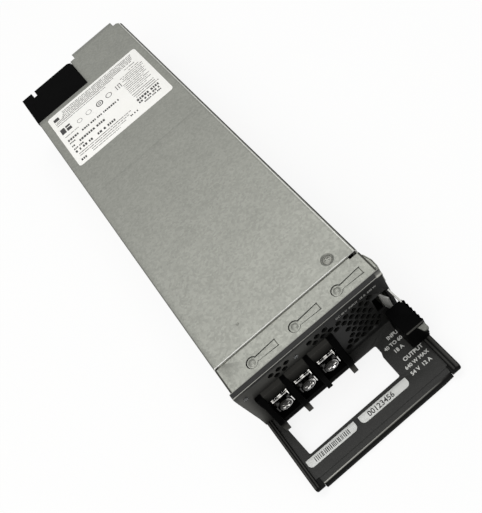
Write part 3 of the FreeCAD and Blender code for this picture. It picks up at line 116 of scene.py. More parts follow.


# hot-dip galvanised sheet: small zinc spangle, matt grey metal with soft cloudy patches; its dark mixed-in
# colour is painted shade along bends, the crease, the screw's seat and the latch pad
addFinish("galvanisedSheet", "#8b8c85", "#757670", (0.40, 0.52), (0.30, 16, 0.007), metallic=0.82,
          spangle=(1.1, 0.6), cloudShare=0.3, spread=(0.2, 0.8), wearAndLight="#23231f")
# freshly cut zinc and steel of the sheet's rim, pale and a little shiny; it also lays a painted highlight on
# the cover's front edge and on a line beside its right fold
addFinish("cutRimAndHighlight", "#dcdcd8", "#c6c6c1", (0.34, 0.46), (0.3, 3, 0.006), metallic=0.2)
# sheared edge of that sheet: bare steel, brighter than the zinc
addFinish("shearedSteelEdge", "#cfcfca", "#b5b5b0", (0.30, 0.42), (0.3, 3, 0.004), metallic=0.85)
# zinc-plated screws: smoother than the sheet and darker, with grease in the grain
addFinish("zincPlatedScrew", "#70706b", "#4b4b46", (0.22, 0.36), (0.3, 2.5, 0.006), metallic=1.0)
# black powder coat with a fine leather grain, over steel plate
addFinish("texturedPowderCoat", "#0a0a09", "#323230", (0.52, 0.66), (0.45, 9, 0.045), cloudShare=0.2,
          specular=0.26)
# black polyester paint on the perforated panel, smoother than the handle; its grey mixed-in colour lays a
# painted highlight along the top edges and a painted sheen at the left and above
addFinish("satinBlackPaint", "#0c0c0b", "#171716", (0.44, 0.56), (0.5, 8, 0.010), cloudShare=0.4,
          wearAndLight="#b4b3ac", specular=0.24)
# glass-filled moulded thermoplastic, deep black, faint flow clouds; its grey mixed-in colour lays painted
# highlights on the barriers' lower ends and the cap's top edge, and a lighter band above each terminal
addFinish("mouldedBlackPlastic", "#040404", "#0a0a0a", (0.44, 0.60), (0.35, 6, 0.012), wearAndLight="#5a5955",
          specular=0.008)
# semi-matt black enamel of the hems and the front flange, made darker than the textured plate between them as
# painted shade; its grey mixed-in colour lays painted highlights on the lip and the hems
addFinish("paintedShadeEnamel", "#080808", "#10100f", (0.42, 0.54), (0.5, 8, 0.008), cloudShare=0.4,
          wearAndLight="#b4b3ac", specular=0.07)
# nickel plate over brass, dark on the flats; its white mixed-in colour lays painted highlights on rims, edges
# and the cross
addFinish("nickelPaintedHighlights", "#2e2d2b", "#151413", (0.10, 0.20), (0.6, 2, 0.020), metallic=1.0, wearAndLight="#f4f3f0")
# rolled stainless spring strip, fine lines along the rolling direction
addFinish("stainlessSpring", "#d6d6d1", "#b4b4af", (0.30, 0.44), (0.3, 4, 0.004), metallic=0.6,
          stretch=(1, 0.06, 1))
# clear polycarbonate light pipe
addFinish("clearPolycarbonate", "#cfd4d4", "#b9bfc0", (0.08, 0.16), (0.5, 2, 0.002), glass=(0.95, 1.585))
# matt white polyester label film
addFinish("whiteLabelFilm", "#f4f3ef", "#ecebe6", (0.48, 0.58), (0.25, 18, 0.002), cloudShare=0.6)
# silver metallised polyester label film
addFinish("silverLabelFilm", "#c9cac7", "#b3b4b0", (0.38, 0.50), (0.2, 6, 0.003), metallic=0.2)
# thermal-transfer ink, nearly matt black
addFinish("blackLabelInk", "#171716", "#2b2a28", (0.55, 0.65), (0.2, 2, 0.001))
# the same ink in print too fine to cover the film: it reads as grey
addFinish("greyLabelInk", "#4e4d4a", "#6b6a66", (0.55, 0.65), (0.2, 2, 0.001))
# white pad-printing ink on the black paint
addFinish("whitePadInk", "#dededa", "#c2c2bd", (0.50, 0.62), (0.2, 2, 0.002))
# thin pad-printing ink, the black paint showing through
addFinish("greyPadInk", "#b2b2ae", "#8f8f8b", (0.50, 0.62), (0.2, 2, 0.002))
# green solder resist over glass-epoxy laminate, the weave just showing
addFinish("solderResist", "#0f4a2c", "#0c3d24", (0.30, 0.42), (0.5, 7, 0.004))
# yellowish polyester insulating film
addFinish("insulatingFilm", "#c9bd8e", "#b8ac7e", (0.30, 0.42), (0.6, 12, 0.003))
# enamelled copper winding, lines of single wires
addFinish("enamelledCopper", "#a8622d", "#7d4419", (0.25, 0.40), (0.6, 4, 0.05), metallic=0.9,
          stretch=(1, 0.2, 1))
# sintered ferrite, dull and a little porous
addFinish("sinteredFerrite", "#2b2b2d", "#3a3a3c", (0.55, 0.70), (0.3, 3, 0.010))
# moulded epoxy and polyester component cases
addFinish("componentEpoxy", "#1d1d1e", "#2a2a2b", (0.40, 0.55), (0.3, 4, 0.006))
# clear glass tube with plated ends
addFinish("fuseGlass", "#c9cac6", "#b4b5b1", (0.06, 0.12), (0.6, 3, 0.001), glass=(0.6, 1.52))
# shrink sleeve of the electrolytic capacitors
addFinish("shrinkSleeve", "#14182c", "#1d2340", (0.22, 0.34), (0.5, 5, 0.004))
# extruded aluminium, drawn lines along the length
addFinish("extrudedAluminium", "#c4c5c6", "#a7a8a9", (0.30, 0.45), (0.3, 6, 0.006), metallic=1.0,
          stretch=(1, 0.05, 1))
# gold flash over copper alloy contacts
addFinish("goldFlash", "#c9a24c", "#b48d3c", (0.20, 0.32), (0.3, 3, 0.003), metallic=1.0)
slotFinish = {
    "galvanised_steel": "galvanisedSheet", "plated_steel": "zincPlatedScrew",
    "black_painted_steel": "satinBlackPaint", "black_plastic": "mouldedBlackPlastic",
    "nickel_plate": "nickelPaintedHighlights", "stainless_spring": "stainlessSpring",
    "clear_plastic": "clearPolycarbonate", "white_label": "whiteLabelFilm", "silver_label": "silverLabelFilm",
    "insulating_film": "insulatingFilm", "board_laminate": "solderResist", "copper": "enamelledCopper",
    "ferrite": "sinteredFerrite", "component_plastic": "componentEpoxy", "glass": "fuseGlass",
    "capacitor_sleeve": "shrinkSleeve", "aluminium": "extrudedAluminium", "contact_plate": "goldFlash",
}
nodeSlot = {entry["node"]: entry["material_slot"] for entry in frame["record"]["subparts"]}
print("finishes:", len(paint))


def gridFaces(rows, columns, roundRows=False, roundColumns=False):
    # quads between neighbours of a grid that is stored row by row; a round direction closes on itself
    row, column = np.meshgrid(np.arange(rows - (not roundRows)), np.arange(columns - (not roundColumns)),
                              indexing="ij")
    nextRow, nextColumn = (row + 1) % rows, (column + 1) % columns
    corners = [row * columns + column, row * columns + nextColumn,
               nextRow * columns + nextColumn, nextRow * columns + column]
    return np.stack(corners, -1).reshape(-1, 4)


def tubeFaces(rings, count):
    # quads round a tube of rings with count points each, then its two flat ends
    ends = [list(range(count))[::-1], list(range((rings - 1) * count, rings * count))]
    return gridFaces(rings, count, roundColumns=True).tolist() + ends


def joinShells(shells):
    # several (points, faces) as one: each shell's corner numbers start after the points before it
    points, faces, start = [], [], 0
    for shellPoints, shellFaces in shells:
        rows = shellFaces if isinstance(shellFaces, list) else shellFaces.tolist()
        points.append(shellPoints)
        faces += [[corner + start for corner in face] for face in rows]
        start += len(shellPoints)
    return np.concatenate(points), faces


def addObject(name, data):
    # an object of the scene that shows this mesh, light or camera
    item = bpy.data.objects.new(name, data)
    bpy.context.scene.collection.objects.link(item)
    return item


def setLightAndWear(mesh, values):
    # share at each point, 0 to 1, of the colour that finishes mix in; mostly painted highlights and painted
    # shade
    mesh.attributes.new("wearAndLight", "FLOAT", "POINT").data.foreach_set("value", values.astype(np.float32))


def finishPiece(name, mesh, slotName, body="case", stands=(), sharp=35.0):
    # smooth faces between edges sharper than an angle; the piece rides on a body and stands in for CAD nodes
    mesh.shade_smooth()
    mesh.set_sharp_from_angle(angle=np.radians(sharp))
    piece = addObject(name, mesh)
    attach(piece, body)
    if stands:
        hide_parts(*stands)
    return piece


def putMesh(name, shell, finishName, slotName, closed=True, values=None, second=None, **rest):
    # the arrays become a mesh in metres; doubles are merged and the faces of a closed shell turned outwards;
    # values are its points' share of the mixed-in colour, painted light and wear; second gives another
    # finish's name and a mask of the faces that have it
    points, faces = shell
    mesh = bpy.data.meshes.new(name)
    mesh.from_pydata((points * mm).tolist(), [], faces if isinstance(faces, list) else faces.tolist())
    mesh.materials.append(paint[finishName])
    if second:
        mesh.materials.append(paint[second[0]])
        mesh.polygons.foreach_set("material_index", second[1].astype(np.int32))
    if values is not None:
        setLightAndWear(mesh, values)
    shape = bmesh.new()
    shape.from_mesh(mesh)
    bmesh.ops.remove_doubles(shape, verts=shape.verts, dist=0.0005 * mm)
    if closed:
        bmesh.ops.recalc_face_normals(shape, faces=shape.faces)
    shape.to_mesh(mesh)
    shape.free()
    return finishPiece(name, mesh, slotName, **rest)


def meshArray(items, key):
    # one vector per item of a mesh, as rows of an array
    values = np.empty(len(items) * 3, np.float32)
    items.foreach_get(key, values)
    return values.reshape(-1, 3)


def softCopy(node, width, slices=(), mould=None, cut=None):
    # a merged copy of a CAD node with flat faces made whole again, and every sharp edge rounded by width;
    # slices are planes (axis, place) that cut its faces, so that mould can move points and give their share
    # of painted light and wear;
    # cut gives the finish of upright walls nearer to the middle plane than a distance
    mesh = cad[node].data.copy()
    mesh.name = node + "Soft"
    shape = bmesh.new()
    shape.from_mesh(mesh)
    bmesh.ops.remove_doubles(shape, verts=shape.verts, dist=0.002 * mm)
    bmesh.ops.dissolve_limit(shape, angle_limit=np.radians(0.5), verts=shape.verts, edges=shape.edges)
    for axis, place in slices:
        normal = np.eye(3)[axis]
        bmesh.ops.bisect_plane(shape, geom=shape.verts[:] + shape.edges[:] + shape.faces[:],
                               plane_co=normal * place * mm, plane_no=normal)
    shape.to_mesh(mesh)
    shape.free()
    if mould:
        *moved, wearAndLight = mould(*meshArray(mesh.vertices, "co").T / mm)
        mesh.vertices.foreach_set("co", (np.stack(moved, -1) * mm).astype(np.float32).reshape(-1))
        setLightAndWear(mesh, wearAndLight)
        mesh.update()
    mesh.materials.clear()
    mesh.materials.append(paint[slotFinish[nodeSlot[node]]])
    if cut:
        finishName, reach = cut
        away = np.abs(meshArray(mesh.polygons, "center")[:, 0]) / mm
        upright = np.abs(meshArray(mesh.polygons, "normal")[:, 2]) < 0.3
        mesh.materials.append(paint[finishName])
        mesh.polygons.foreach_set("material_index", (upright & (away < reach)).astype(np.int32))
    piece = finishPiece(node + "Soft", mesh, nodeSlot[node], stands=[node])
    bevel = piece.modifiers.new("edges", "BEVEL")
    bevel.width = width * mm
    bevel.segments = 2
    bevel.limit_method = "ANGLE"
    bevel.angle_limit = np.radians(40)
    bevel.use_clamp_overlap = True
    bevel.harden_normals = True


def unit(vectors):
    # the same directions with length 1
    return vectors / np.linalg.norm(vectors, axis=-1, keepdims=True)


def ramp(value, start, end):
    # 0 at the start, 1 at the end, straight between them and level outside
    return np.clip((value - start) / (end - start), 0, 1)


def roundOutline(corners, radii, steps=6):
    # each corner of a closed outline becomes an arc that touches both of its edges
    corners = np.asarray(corners, float)
    radii = np.broadcast_to(np.asarray(radii, float), len(corners))
    before, after = [unit(np.roll(corners, shift, 0) - corners) for shift in (1, -1)]
    half = np.arccos(np.clip((before * after).sum(1), -1, 1)) / 2
    bisector = unit(before + after)
    centre = corners + bisector * (radii / np.sin(half))[:, None]
    start = corners + before * (radii / np.tan(half))[:, None] - centre
    end = corners + after * (radii / np.tan(half))[:, None] - centre
    turn = (np.pi - 2 * half)[:, None, None]
    share = np.linspace(0, 1, steps + 1)[None, :, None]
    arc = (start[:, None] * np.sin((1 - share) * turn) + end[:, None] * np.sin(share * turn)) / np.sin(turn)
    return (centre[:, None] + arc).reshape(-1, 2)


def boxOutline(left, right, low, high, radii, steps=6):
    # anticlockwise rectangle with rounded corners, from the lower left one on
    return roundOutline([(left, low), (right, low), (right, high), (left, high)], radii, steps)


def insetOutline(outline, distance):
    # every point of a closed anticlockwise outline moves inwards along the bisector of its two edges
    ahead = np.roll(outline, -1, 0) - outline
    behind = outline - np.roll(outline, 1, 0)
    bisector = sum(unit(np.stack([-edge[:, 1], edge[:, 0]], -1)) for edge in (ahead, behind))
    return outline + bisector * (distance * 2 / (bisector ** 2).sum(1, keepdims=True))


def plate(outline, low, high, topRound=0.0, lowRound=0.0, steps=4):
    # an outline carried from low to high; near each end it draws in by r (1 - cos t) as it rises r sin t
    turn = np.linspace(0, np.pi / 2, steps + 1)
    rings = [(level + way * radius * (1 - np.sin(t)), radius * (1 - np.cos(t)))
             for level, way, radius, turns in ((low, 1, lowRound, turn[::-1]), (high, -1, topRound, turn))
             for t in (turns if radius else turn[:1])]
    points = [np.column_stack([insetOutline(outline, inset), np.full(len(outline), level)])
              for level, inset in rings]
    return np.concatenate(points), tubeFaces(len(rings), len(outline))


def rod(x, z, radius, start, end, sides=48):
    # a round bar along Y, with flat ends
    angle = np.arange(sides) * 2 * np.pi / sides
    circle = np.stack([x + radius * np.cos(angle), np.zeros(sides), z + radius * np.sin(angle)], -1)
    return np.concatenate([circle + (0, start, 0), circle + (0, end, 0)]), tubeFaces(2, sides)


cover = {
    "half": 41.9, "top": 40.0, "skirtEnd": 3.0, "fold": 1.2, "gauge": 0.8,
    "front": 15.3, "notchY": 247.4, "notchX": -0.8, "cornerY": 275.4, "rear": 278.4,
    "tabX": (3.0, 36.5), "tabEnd": 283.7,
    "lidScrew": (29.3, 21.2), "sideScrews": (100.0, 207.4), "sideLevel": 20.0,
    "dimple": (2.7, 3.35, 0.45),  # radius of the seat, of the rim, and its depth
    "seatRing": (2.85, 0.3, 0.65),  # radius, width and share of the painted shade ring in it
    "dentAndEndLight": (-20.7, 26.3, 0.60, 0.45),  # place, radius and depth of the small dent
    "crease": (159.0, -32.5, 37.0, 0.04, 0.14),  # its Y, both ends in X, its depth and its share of painted shade
    "wave": 0.05,
    "foldDark": ((0.4, 0.4), (0.2, 0.95)),  # left, right: sine of the bend where it darkens, and the share of painted shade
    "shadeLine": (1.5, 1.0, 0.5),  # start, middle and end of a painted shade line, back from the right fold
    # share of painted shade along that line
    "shadeLineDark": 0.14,
    "highlightLine": (0.32, 0.08),  # both sides of the painted highlight line next to it
    "highlightFront": (0.3, 37.0),  # depth of the painted highlight on the front edge, and its right end
    "seatZone": (4.4, 0.35), "sideZone": (4.4, 0.4), "dentZone": (1.8, 0.2),  # reach, pitch of closer lines
}


def fineLines(low, high, step, marks, zones):
    # even lines from low to high, with exact lines at the marks and closer ones in the zones;
    # a line nearer than the closest gap to the one before it, or to a mark after it, is left out
    closest = 0.12
    lines = [np.linspace(low, high, int((high - low) / step) + 1), np.array(marks, float)]
    lines += [np.arange(centre - reach, centre + reach + 1e-6, pitch) for centre, reach, pitch in zones]
    merged = np.unique(np.concatenate(lines).round(3))
    merged = merged[(merged >= low) & (merged <= high)]
    fixed = np.isin(merged, np.round(np.array(list(marks) + [low, high], float), 3))
    before, after = np.diff(merged, prepend=-1e9), np.diff(merged, append=1e9)
    crowded = ~fixed & ((before < closest) | ((after < closest) & np.append(fixed[1:], False)))
    return merged[~crowded]


def dish(distance, seat, rim, depth):
    # flat seat of a pressed dimple, then a raised-cosine slope out to its rim
    return -depth * (1 + np.cos(np.pi * ramp(distance, seat, rim))) / 2


def bell(distance, width):
    # bell curve: 1 in the middle, 1/e at the width
    return np.exp(-(distance / width) ** 2)


def coverSheet(size):
    # profile: up the left skirt, round the fold, across the top, round the fold and down the right skirt;
    # carried along Y, with the cells of the notch, the cut corner and outside the rear tab left out
    half, top, fold, cornerY, rear = [size[key] for key in ("half", "top", "fold", "cornerY", "rear")]
    screwX, screwY = size["lidScrew"]
    tabLeft, tabRight = size["tabX"]
    dentX, dentY, dentReach, dentDepth = size["dentAndEndLight"]
    creaseY, creaseLeft, creaseRight, creaseDepth, creaseShade = size["crease"]
    foldLines = [half - fold - back for back in (*size["shadeLine"], *size["highlightLine"])]
    skirt = fineLines(size["skirtEnd"], top - fold, 4.0, [], [(size["sideLevel"], *size["sideZone"])])
    flat = fineLines(fold - half, half - fold, 3.0, [size["notchX"], *size["tabX"], *foldLines],
                     [(screwX, *size["seatZone"]), (dentX, *size["dentZone"])])
    turn = np.linspace(0, np.pi / 2, 8)[1:-1]
    profileX = np.concatenate([np.full(len(skirt), -half), fold - half - fold * np.cos(turn), flat,
                               half - fold + fold * np.sin(turn), np.full(len(skirt), half)])
    profileZ = np.concatenate([skirt, top - fold + fold * np.sin(turn), np.full(len(flat), top),
                               top - fold + fold * np.cos(turn), skirt[::-1]])
    part = np.repeat(np.arange(5), [len(skirt), len(turn), len(flat), len(turn), len(skirt)])
    along = fineLines(size["front"], size["tabEnd"], 4.0,
                      [size["front"] + size["highlightFront"][0], size["notchY"], cornerY, cornerY + fold, rear,
                       creaseY - 0.6, creaseY, creaseY + 0.6],
                      [(screwY, *size["seatZone"]), (dentY, *size["dentZone"])]
                      + [(place, *size["sideZone"]) for place in size["sideScrews"]])
    x, y = np.meshgrid(profileX, along)
    # cut corner: lines right of the tab close up towards the sloping edge
    edge = half - np.clip(y - cornerY, fold, rear - cornerY)
    share = ramp(x, tabRight, half - fold)
    leaning = (y > cornerY + fold) & (y <= rear) & (share > 0)
    x = np.where(leaning, tabRight + share * (edge - tabRight), x)
    # pressed and worn marks, and long shallow waves
    onTop = part[None] == 2
    crease = bell(y - creaseY, 0.5) * (x > creaseLeft) * (x < creaseRight) * onTop
    rise = dish(np.hypot(x - screwX, y - screwY), *size["dimple"])
    rise -= dentDepth * bell(np.hypot(x - dentX, y - dentY), dentReach) + creaseDepth * crease
    rise += size["wave"] * np.sin(x / 11 + 0.6) * np.sin(y / 23 + 0.4) * np.cos(x / half * np.pi / 2)
    z = profileZ[None] + np.where(onTop, rise, 0)
    for place in size["sideScrews"]:
        press = dish(np.hypot(y - place, z - size["sideLevel"]), *size["dimple"])
        x = x + np.where(part[None] == 4, press, 0) - np.where(part[None] == 0, press, 0)
    column, row = np.meshgrid((profileX[1:] + profileX[:-1]) / 2, (along[1:] + along[:-1]) / 2)
    rightFold = (np.minimum(part[1:], part[:-1]) >= 2) & (np.maximum(part[1:], part[:-1]) > 2)
    keep = (row < size["notchY"]) | ((column > size["notchX"]) & (row < rear))
    keep &= ~((row > cornerY) & rightFold)
    keep |= (row > rear) & (column > tabLeft) & (column < tabRight)
    faces = gridFaces(len(along), len(profileX))[keep.reshape(-1)]
    points = np.stack([x, y, z], -1).reshape(-1, 3)
    # painted shade: the zinc is made darker down the folds, along the shade line, in the crease and round the
    # screw's seat
    bent = np.zeros(len(part))
    bent[part == 1], bent[part == 3] = np.cos(turn), np.sin(turn)
    start, most = np.array(size["foldDark"])[(profileX > 0).astype(int)].T
    dark = most * ramp(bent, start, start + 0.2)
    dark += size["shadeLineDark"] * (np.abs(profileX - foldLines[1]) < 0.01)
    radius, width, ringShade = size["seatRing"]
    ring = bell(np.hypot(x - screwX, y - screwY) - radius, width) * onTop
    dark = np.maximum.reduce([dark[None] + 0 * x, ringShade * ring, creaseShade * crease]).reshape(-1)
    used = np.unique(faces)
    renumber = np.zeros(len(points), int)
    renumber[used] = np.arange(len(used))
    return points[used], renumber[faces], dark[used]


points, faces, dark = coverSheet(cover)
# painted highlight: the front edge is made as pale as its cut rim, and so is the line by the right fold
deep, rightEnd = cover["highlightFront"]
cornerX, cornerY = np.moveaxis(points[faces], -1, 0)[:2]
inwards = cover["half"] - cover["fold"] - cornerX
pale = (cornerY.max(1) < cover["front"] + deep + 0.05) & (cornerX.max(1) < rightEnd)
pale |= (inwards.max(1) < cover["highlightLine"][0] + 0.01) & (inwards.min(1) > cover["highlightLine"][1] - 0.01)
sheet = putMesh("coverSheet", (points, faces), "galvanisedSheet", "galvanised_steel", stands=["top_cover"],
                closed=False, sharp=50, values=dark, second=("cutRimAndHighlight", pale))
wall = sheet.modifiers.new("gauge", "SOLIDIFY")
wall.thickness = cover["gauge"] * mm
wall.offset = -1.0
wall.material_offset_rim = 1
print("cover:", len(faces), "faces")


screws = {
    "coverHead": {"radius": 2.55, "crown": 0.35, "rise": 0.30, "cross": (0.40, 1.45), "crossDepth": 0.60},
    "terminalHead": {"radius": 3.9, "crown": 0.5, "rise": 0.9, "cross": (0.70, 2.4), "crossDepth": 0.7},
    "terminal": {"seat": -8.3, "level": 17.0, "twist": {"left": 0.5, "middle": 1.1, "right": 0.2},
                 "shank": (1.75, -8.7, 0.8)},  # radius, front and rear end
}


def crossMask(x, y, wide, reach):
    # 1 inside the arms of a cross recess, falling to 0 over a short slope at its walls
    arm = [ramp(np.abs(a), wide, wide - 0.12) * ramp(np.abs(b), reach, reach - 0.35)
           for a, b in ((x, y), (y, x))]
    return np.maximum(*arm)


def screwHead(size, rings=44, spokes=96):
    # height over a disc: a low dome, less the cross recess, then the wall down to the seat;
    # of the crown, 0.45 falls as a parabola and 0.55 over the outer fifth of the radius
    share = np.linspace(0, 1, rings)
    angle = np.arange(spokes) * 2 * np.pi / spokes
    reach, turn = np.meshgrid(share, angle, indexing="ij")
    x, y = reach * size["radius"] * np.cos(turn), reach * size["radius"] * np.sin(turn)
    fall = 0.45 * reach ** 2 + 0.55 * ramp(reach, 0.8, 1.0) ** 2
    height = size["rise"] - size["crown"] * fall - size["crossDepth"] * crossMask(x, y, *size["cross"])
    top = np.stack([x, y, height], -1)
    foot = top[-1].copy()
    foot[:, 2] = -0.05
    tip = [[0, 0, size["rise"] - size["crossDepth"]]]
    points = np.concatenate([top[1:].reshape(-1, 3), foot, tip])
    fan = [np.full(spokes, len(points) - 1), np.arange(spokes), (np.arange(spokes) + 1) % spokes]
    faces = gridFaces(rings, spokes, roundColumns=True).tolist() + np.stack(fan, -1).tolist()
    return points, faces + [list(range((rings - 1) * spokes, rings * spokes))[::-1]]


def placeHead(shell, centre, out, twist):
    # turn a head made about Z so that it looks along out, with its cross twisted about that axis
    points, faces = shell
    out = np.array(out, float)
    side = np.array([0, 0, 1.0]) if abs(out[2]) < 0.5 else np.array([1.0, 0, 0])
    across = side * np.cos(twist) + np.cross(out, side) * np.sin(twist)
    return points @ np.stack([across, np.cross(out, across), out]) + centre, faces


coverHead = screwHead(screws["coverHead"])
seat = cover["dimple"][2]
heads = [placeHead(coverHead, (*cover["lidScrew"], cover["top"] - seat), (0, 0, 1), 0.35)]
for index, place in enumerate(cover["sideScrews"]):
    for side in (-1, 1):
        spot = (side * (cover["half"] - seat), place, cover["sideLevel"])
        heads.append(placeHead(coverHead, spot, (side, 0, 0), 0.5 + index + side * 0.3))
putMesh("coverScrewHeads", joinShells(heads), "zincPlatedScrew", "plated_steel", stands=["cover_screws"])

terminalX = {"left": -27.1, "middle": -13.55, "right": 0.0}
terminalHead = screwHead(screws["terminalHead"])
recess = crossMask(*terminalHead[0][:, :2].T, *screws["terminalHead"]["cross"])
size = screws["terminal"]
for side, x in terminalX.items():
    head = placeHead(terminalHead, (x, size["seat"], size["level"]), (0, -1, 0), size["twist"][side])
    # painted highlights: the cross, and the rim, most of all to the right and below
    offset = (head[0][:, [0, 2]] - (x, size["level"])) / screws["terminalHead"]["radius"]
    rim = bell(np.hypot(*offset.T) - 0.90, 0.10) * np.clip(0.5 + offset @ (0.9, -0.9), 0, 1)
    shank = rod(x, size["level"], *size["shank"])
    putMesh(side + "TerminalScrew", joinShells([head, shank]), "nickelPaintedHighlights", "nickel_plate",
            body=side + "_screw", stands=["terminal_screw_" + side],
            values=np.concatenate([np.maximum(rim, recess > 0.02), np.zeros(len(shank[0]))]))
print("screws:", len(heads), "cover heads,", len(terminalX), "terminal screws")


handle = {
    "left": -40.8, "right": 42.6, "back": -3.2, "front": -39.0, "end": -43.7, "top": 4.0, "under": 2.8,
    "window": [(-34.9, -8.1), (-33.3, -28.1), (20.1, -28.1), (20.3, -15.3), (21.2, -13.1), (21.2, -8.1)],
    "windowRound": [1.6, 1.0, 1.0, 1.2, 1.2, 1.0], "lip": (-36.0, 37.6), "tongue": (36.85, 13.0),
    "rimWide": {-1: 2.7, 1: 4.0}, "rimTop": 5.5, "rimFoot": 2.9,
    "askew": (0.011, -26.0),  # slope of the front bar, and where it begins
}


def windowPlate(size, step=0.35, edge=0.25):
    # rays from the middle of the window through its rounded outline reach the plate's outer rectangle;
    # the section between them (top, rounded inner edge, underside, outer wall) is carried all round
    rough = roundOutline(size["window"], size["windowRound"], 8)
    span = np.linalg.norm(np.roll(rough, -1, 0) - rough, axis=1)
    path = np.concatenate([[0], np.cumsum(span)])
    closed = np.vstack([rough, rough[:1]])
    stops = np.union1d(path[:-1], np.arange(0, path[-1], step))
    dense = np.stack([np.interp(stops, path, closed[:, axis]) for axis in (0, 1)], -1)
    middle = (dense.min(0) + dense.max(0)) / 2
    corner = np.array([(x, y) for x in (size["left"], size["right"]) for y in (size["front"], size["back"])])
    angle, cornerAngle = [np.arctan2(*(spots - middle).T[::-1]) for spots in (dense, corner)]
    order = np.argsort(angle)
    turn = np.union1d(angle, cornerAngle)
    nearest = np.interp(turn, angle[order], np.hypot(*(dense - middle).T)[order], period=2 * np.pi)
    ray = np.stack([np.cos(turn), np.sin(turn)], -1)
    wall = np.where(ray > 0, (size["right"], size["back"]), (size["left"], size["front"])) - middle
    farthest = (wall / np.where(np.abs(ray) < 1e-9, 1e-9, ray)).min(1)
    bend = np.linspace(0, np.pi / 2, 4)
    inner = [(nearest + edge * (1 - np.sin(t)), edge * (1 - np.cos(t))) for t in bend]
    section = [(farthest, size["top"])] + [(distance, size["top"] - drop) for distance, drop in inner]
    section += [(distance, size["under"] + drop) for distance, drop in inner[::-1]]
    section += [(farthest, size["under"])]
    rows = [np.column_stack([middle + ray * distance[:, None], np.full(len(turn), level)])
            for distance, level in section]
    return np.concatenate(rows), gridFaces(len(rows), len(turn), roundRows=True, roundColumns=True)


def hemRim(size, side):
    # folded hem along the side (outer ply, seam, lower inner ply) as distances from its outside and its top,
    # carried along Y with a rounded front end; both plies carry a painted highlight on top
    outer, foot = size["right"] if side > 0 else -size["left"], size["rimFoot"]
    high = size["rimTop"] - foot
    across = np.array([0, 0, 0.15, 0.55, 1.05, 1.3, 1.36, 1.44, 1.5, 1.9, 2.3, 2.5, 2.5])
    below = np.array([high, 0.55, 0.18, 0, 0, 0.22, 0.6, 0.6, 0.4, 0.34, 0.5, 0.85, high])
    ends = np.append(size["end"] + np.array([1.0, 1.15, 1.6, 2.2]), size["back"])
    shrink = np.array([0.55, 0.85, 0.97, 1.0, 1.0])
    x, y = np.meshgrid(side * (outer - across * size["rimWide"][side] / across.max()), ends)
    z = foot + (high - below)[None] * shrink[:, None]
    hemHighlight = np.interp(across, [0.15, 0.55, 1.05, 1.3, 1.5, 1.9, 2.3], [0, 0.10, 0.05, 0, 0, 0.08, 0])
    return np.stack([x, y, z], -1).reshape(-1, 3), tubeFaces(*x.shape), np.tile(hemHighlight, len(ends))


def frontLip(size):
    # section of the lip: crease, a slope that droops more and more to an edge with a painted highlight, a
    # round fold to the floor and back up inside; carried along X, drawn in a little at both ends; only crease
    # and slope are textured like the plate
    slope = np.linspace(0, 1, 7)[1:]
    crease = [(-39.0, 4.0), (-39.35, 3.99), (-39.5, 3.8), (-39.62, 3.8), (-39.77, 3.98)]
    droop = np.stack([-39.77 - 2.2 * slope, 3.98 - 0.35 * slope ** 2], -1)
    fold = [(-42.12, 3.56), (-42.3, 3.44), (-42.7, 3.06), (-43.1, 2.5), (-43.42, 1.7), (-43.6, 0.8),
            (-43.6, 0.25), (-43.45, 0.0), (-42.6, 0.0), (-42.4, 0.2), (-42.3, 1.6), (-41.6, 2.5),
            (-39.0, 2.8)]
    profile = np.concatenate([crease, droop, fold])
    textured = len(crease) + len(droop)
    left, right = size["lip"]
    stations = np.array([left, left + 0.25, left + 7, left + 26, right - 28, right - 12, right - 5, right])
    draw = np.array([0.3, 0, 0, 0, 0, 0, 0, 0.3])
    bright = np.array([0.6, 1.0, 1.0, 0.7, 0.6, 0.35, 0.05, 0.0])
    order, x = np.meshgrid(np.arange(len(profile)), stations)
    y, z = profile[order].transpose(2, 0, 1)
    y = y + draw[:, None] * (y < -42)
    lipHighlight = bright[:, None] * ((order == textured) | (order == textured + 1))
    faces = tubeFaces(*x.shape)
    smooth = np.append(order[:-1].reshape(-1) >= textured, [True, True])
    return np.stack([x, y, z], -1).reshape(-1, 3), faces, lipHighlight.reshape(-1), smooth


lip = frontLip(handle)
rims = [hemRim(handle, side) for side in (-1, 1)] + [lip]
end, front, under, top = [handle[key] for key in ("end", "front", "under", "top")]
lipLeft, lipRight = handle["lip"]
leftEnd = boxOutline(handle["left"], lipLeft, end, front, [1.0, 0.2, 0.01, 0.01])
rightEnd = boxOutline(lipRight, handle["right"], end, front, [0.2, 1.0, 0.01, 0.01])
reach, depth = handle["tongue"]
tongue = boxOutline(-reach, reach, handle["back"], depth, [0.01, 0.01, 2, 2])
shells = [windowPlate(handle), plate(leftEnd, under, top, 0.2, 0.2), plate(rightEnd, under, top, 0.2, 0.2),
          plate(tongue, under, top)]
# painted highlights on the hems and along the lip's edge
wearAndLight = np.concatenate([np.zeros(len(shell[0])) for shell in shells] + [rim[2] for rim in rims])
points, faces = joinShells(shells + [rim[:2] for rim in rims])
# painted shade: all but the window plate, and the lip's crease and slope, take the darker enamel
plain = np.arange(len(faces)) >= len(shells[0][1])
plain[-len(lip[3]):] = lip[3]
# the front bar stands a little askew: y grows with x in front of the window
slope, begin = handle["askew"]
points[:, 1] += slope * points[:, 0] * ramp(points[:, 1], begin, begin - 2)
putMesh("pullHandle", (points, faces), "texturedPowderCoat", "black_painted_steel", stands=["handle_frame"],
        values=wearAndLight, second=("paintedShadeEnamel", plain))
print("handle:", len(faces), "faces")


cap = {"x": (33.0, 43.0), "y": (-23.1, -7.4), "z": (5.6, 20.0), "rib": 0.55, "pitch": 2.5, "ribs": 6,
       "round": [1.2, 0.9, 0.9, 1.2], "highlight": 0.5}


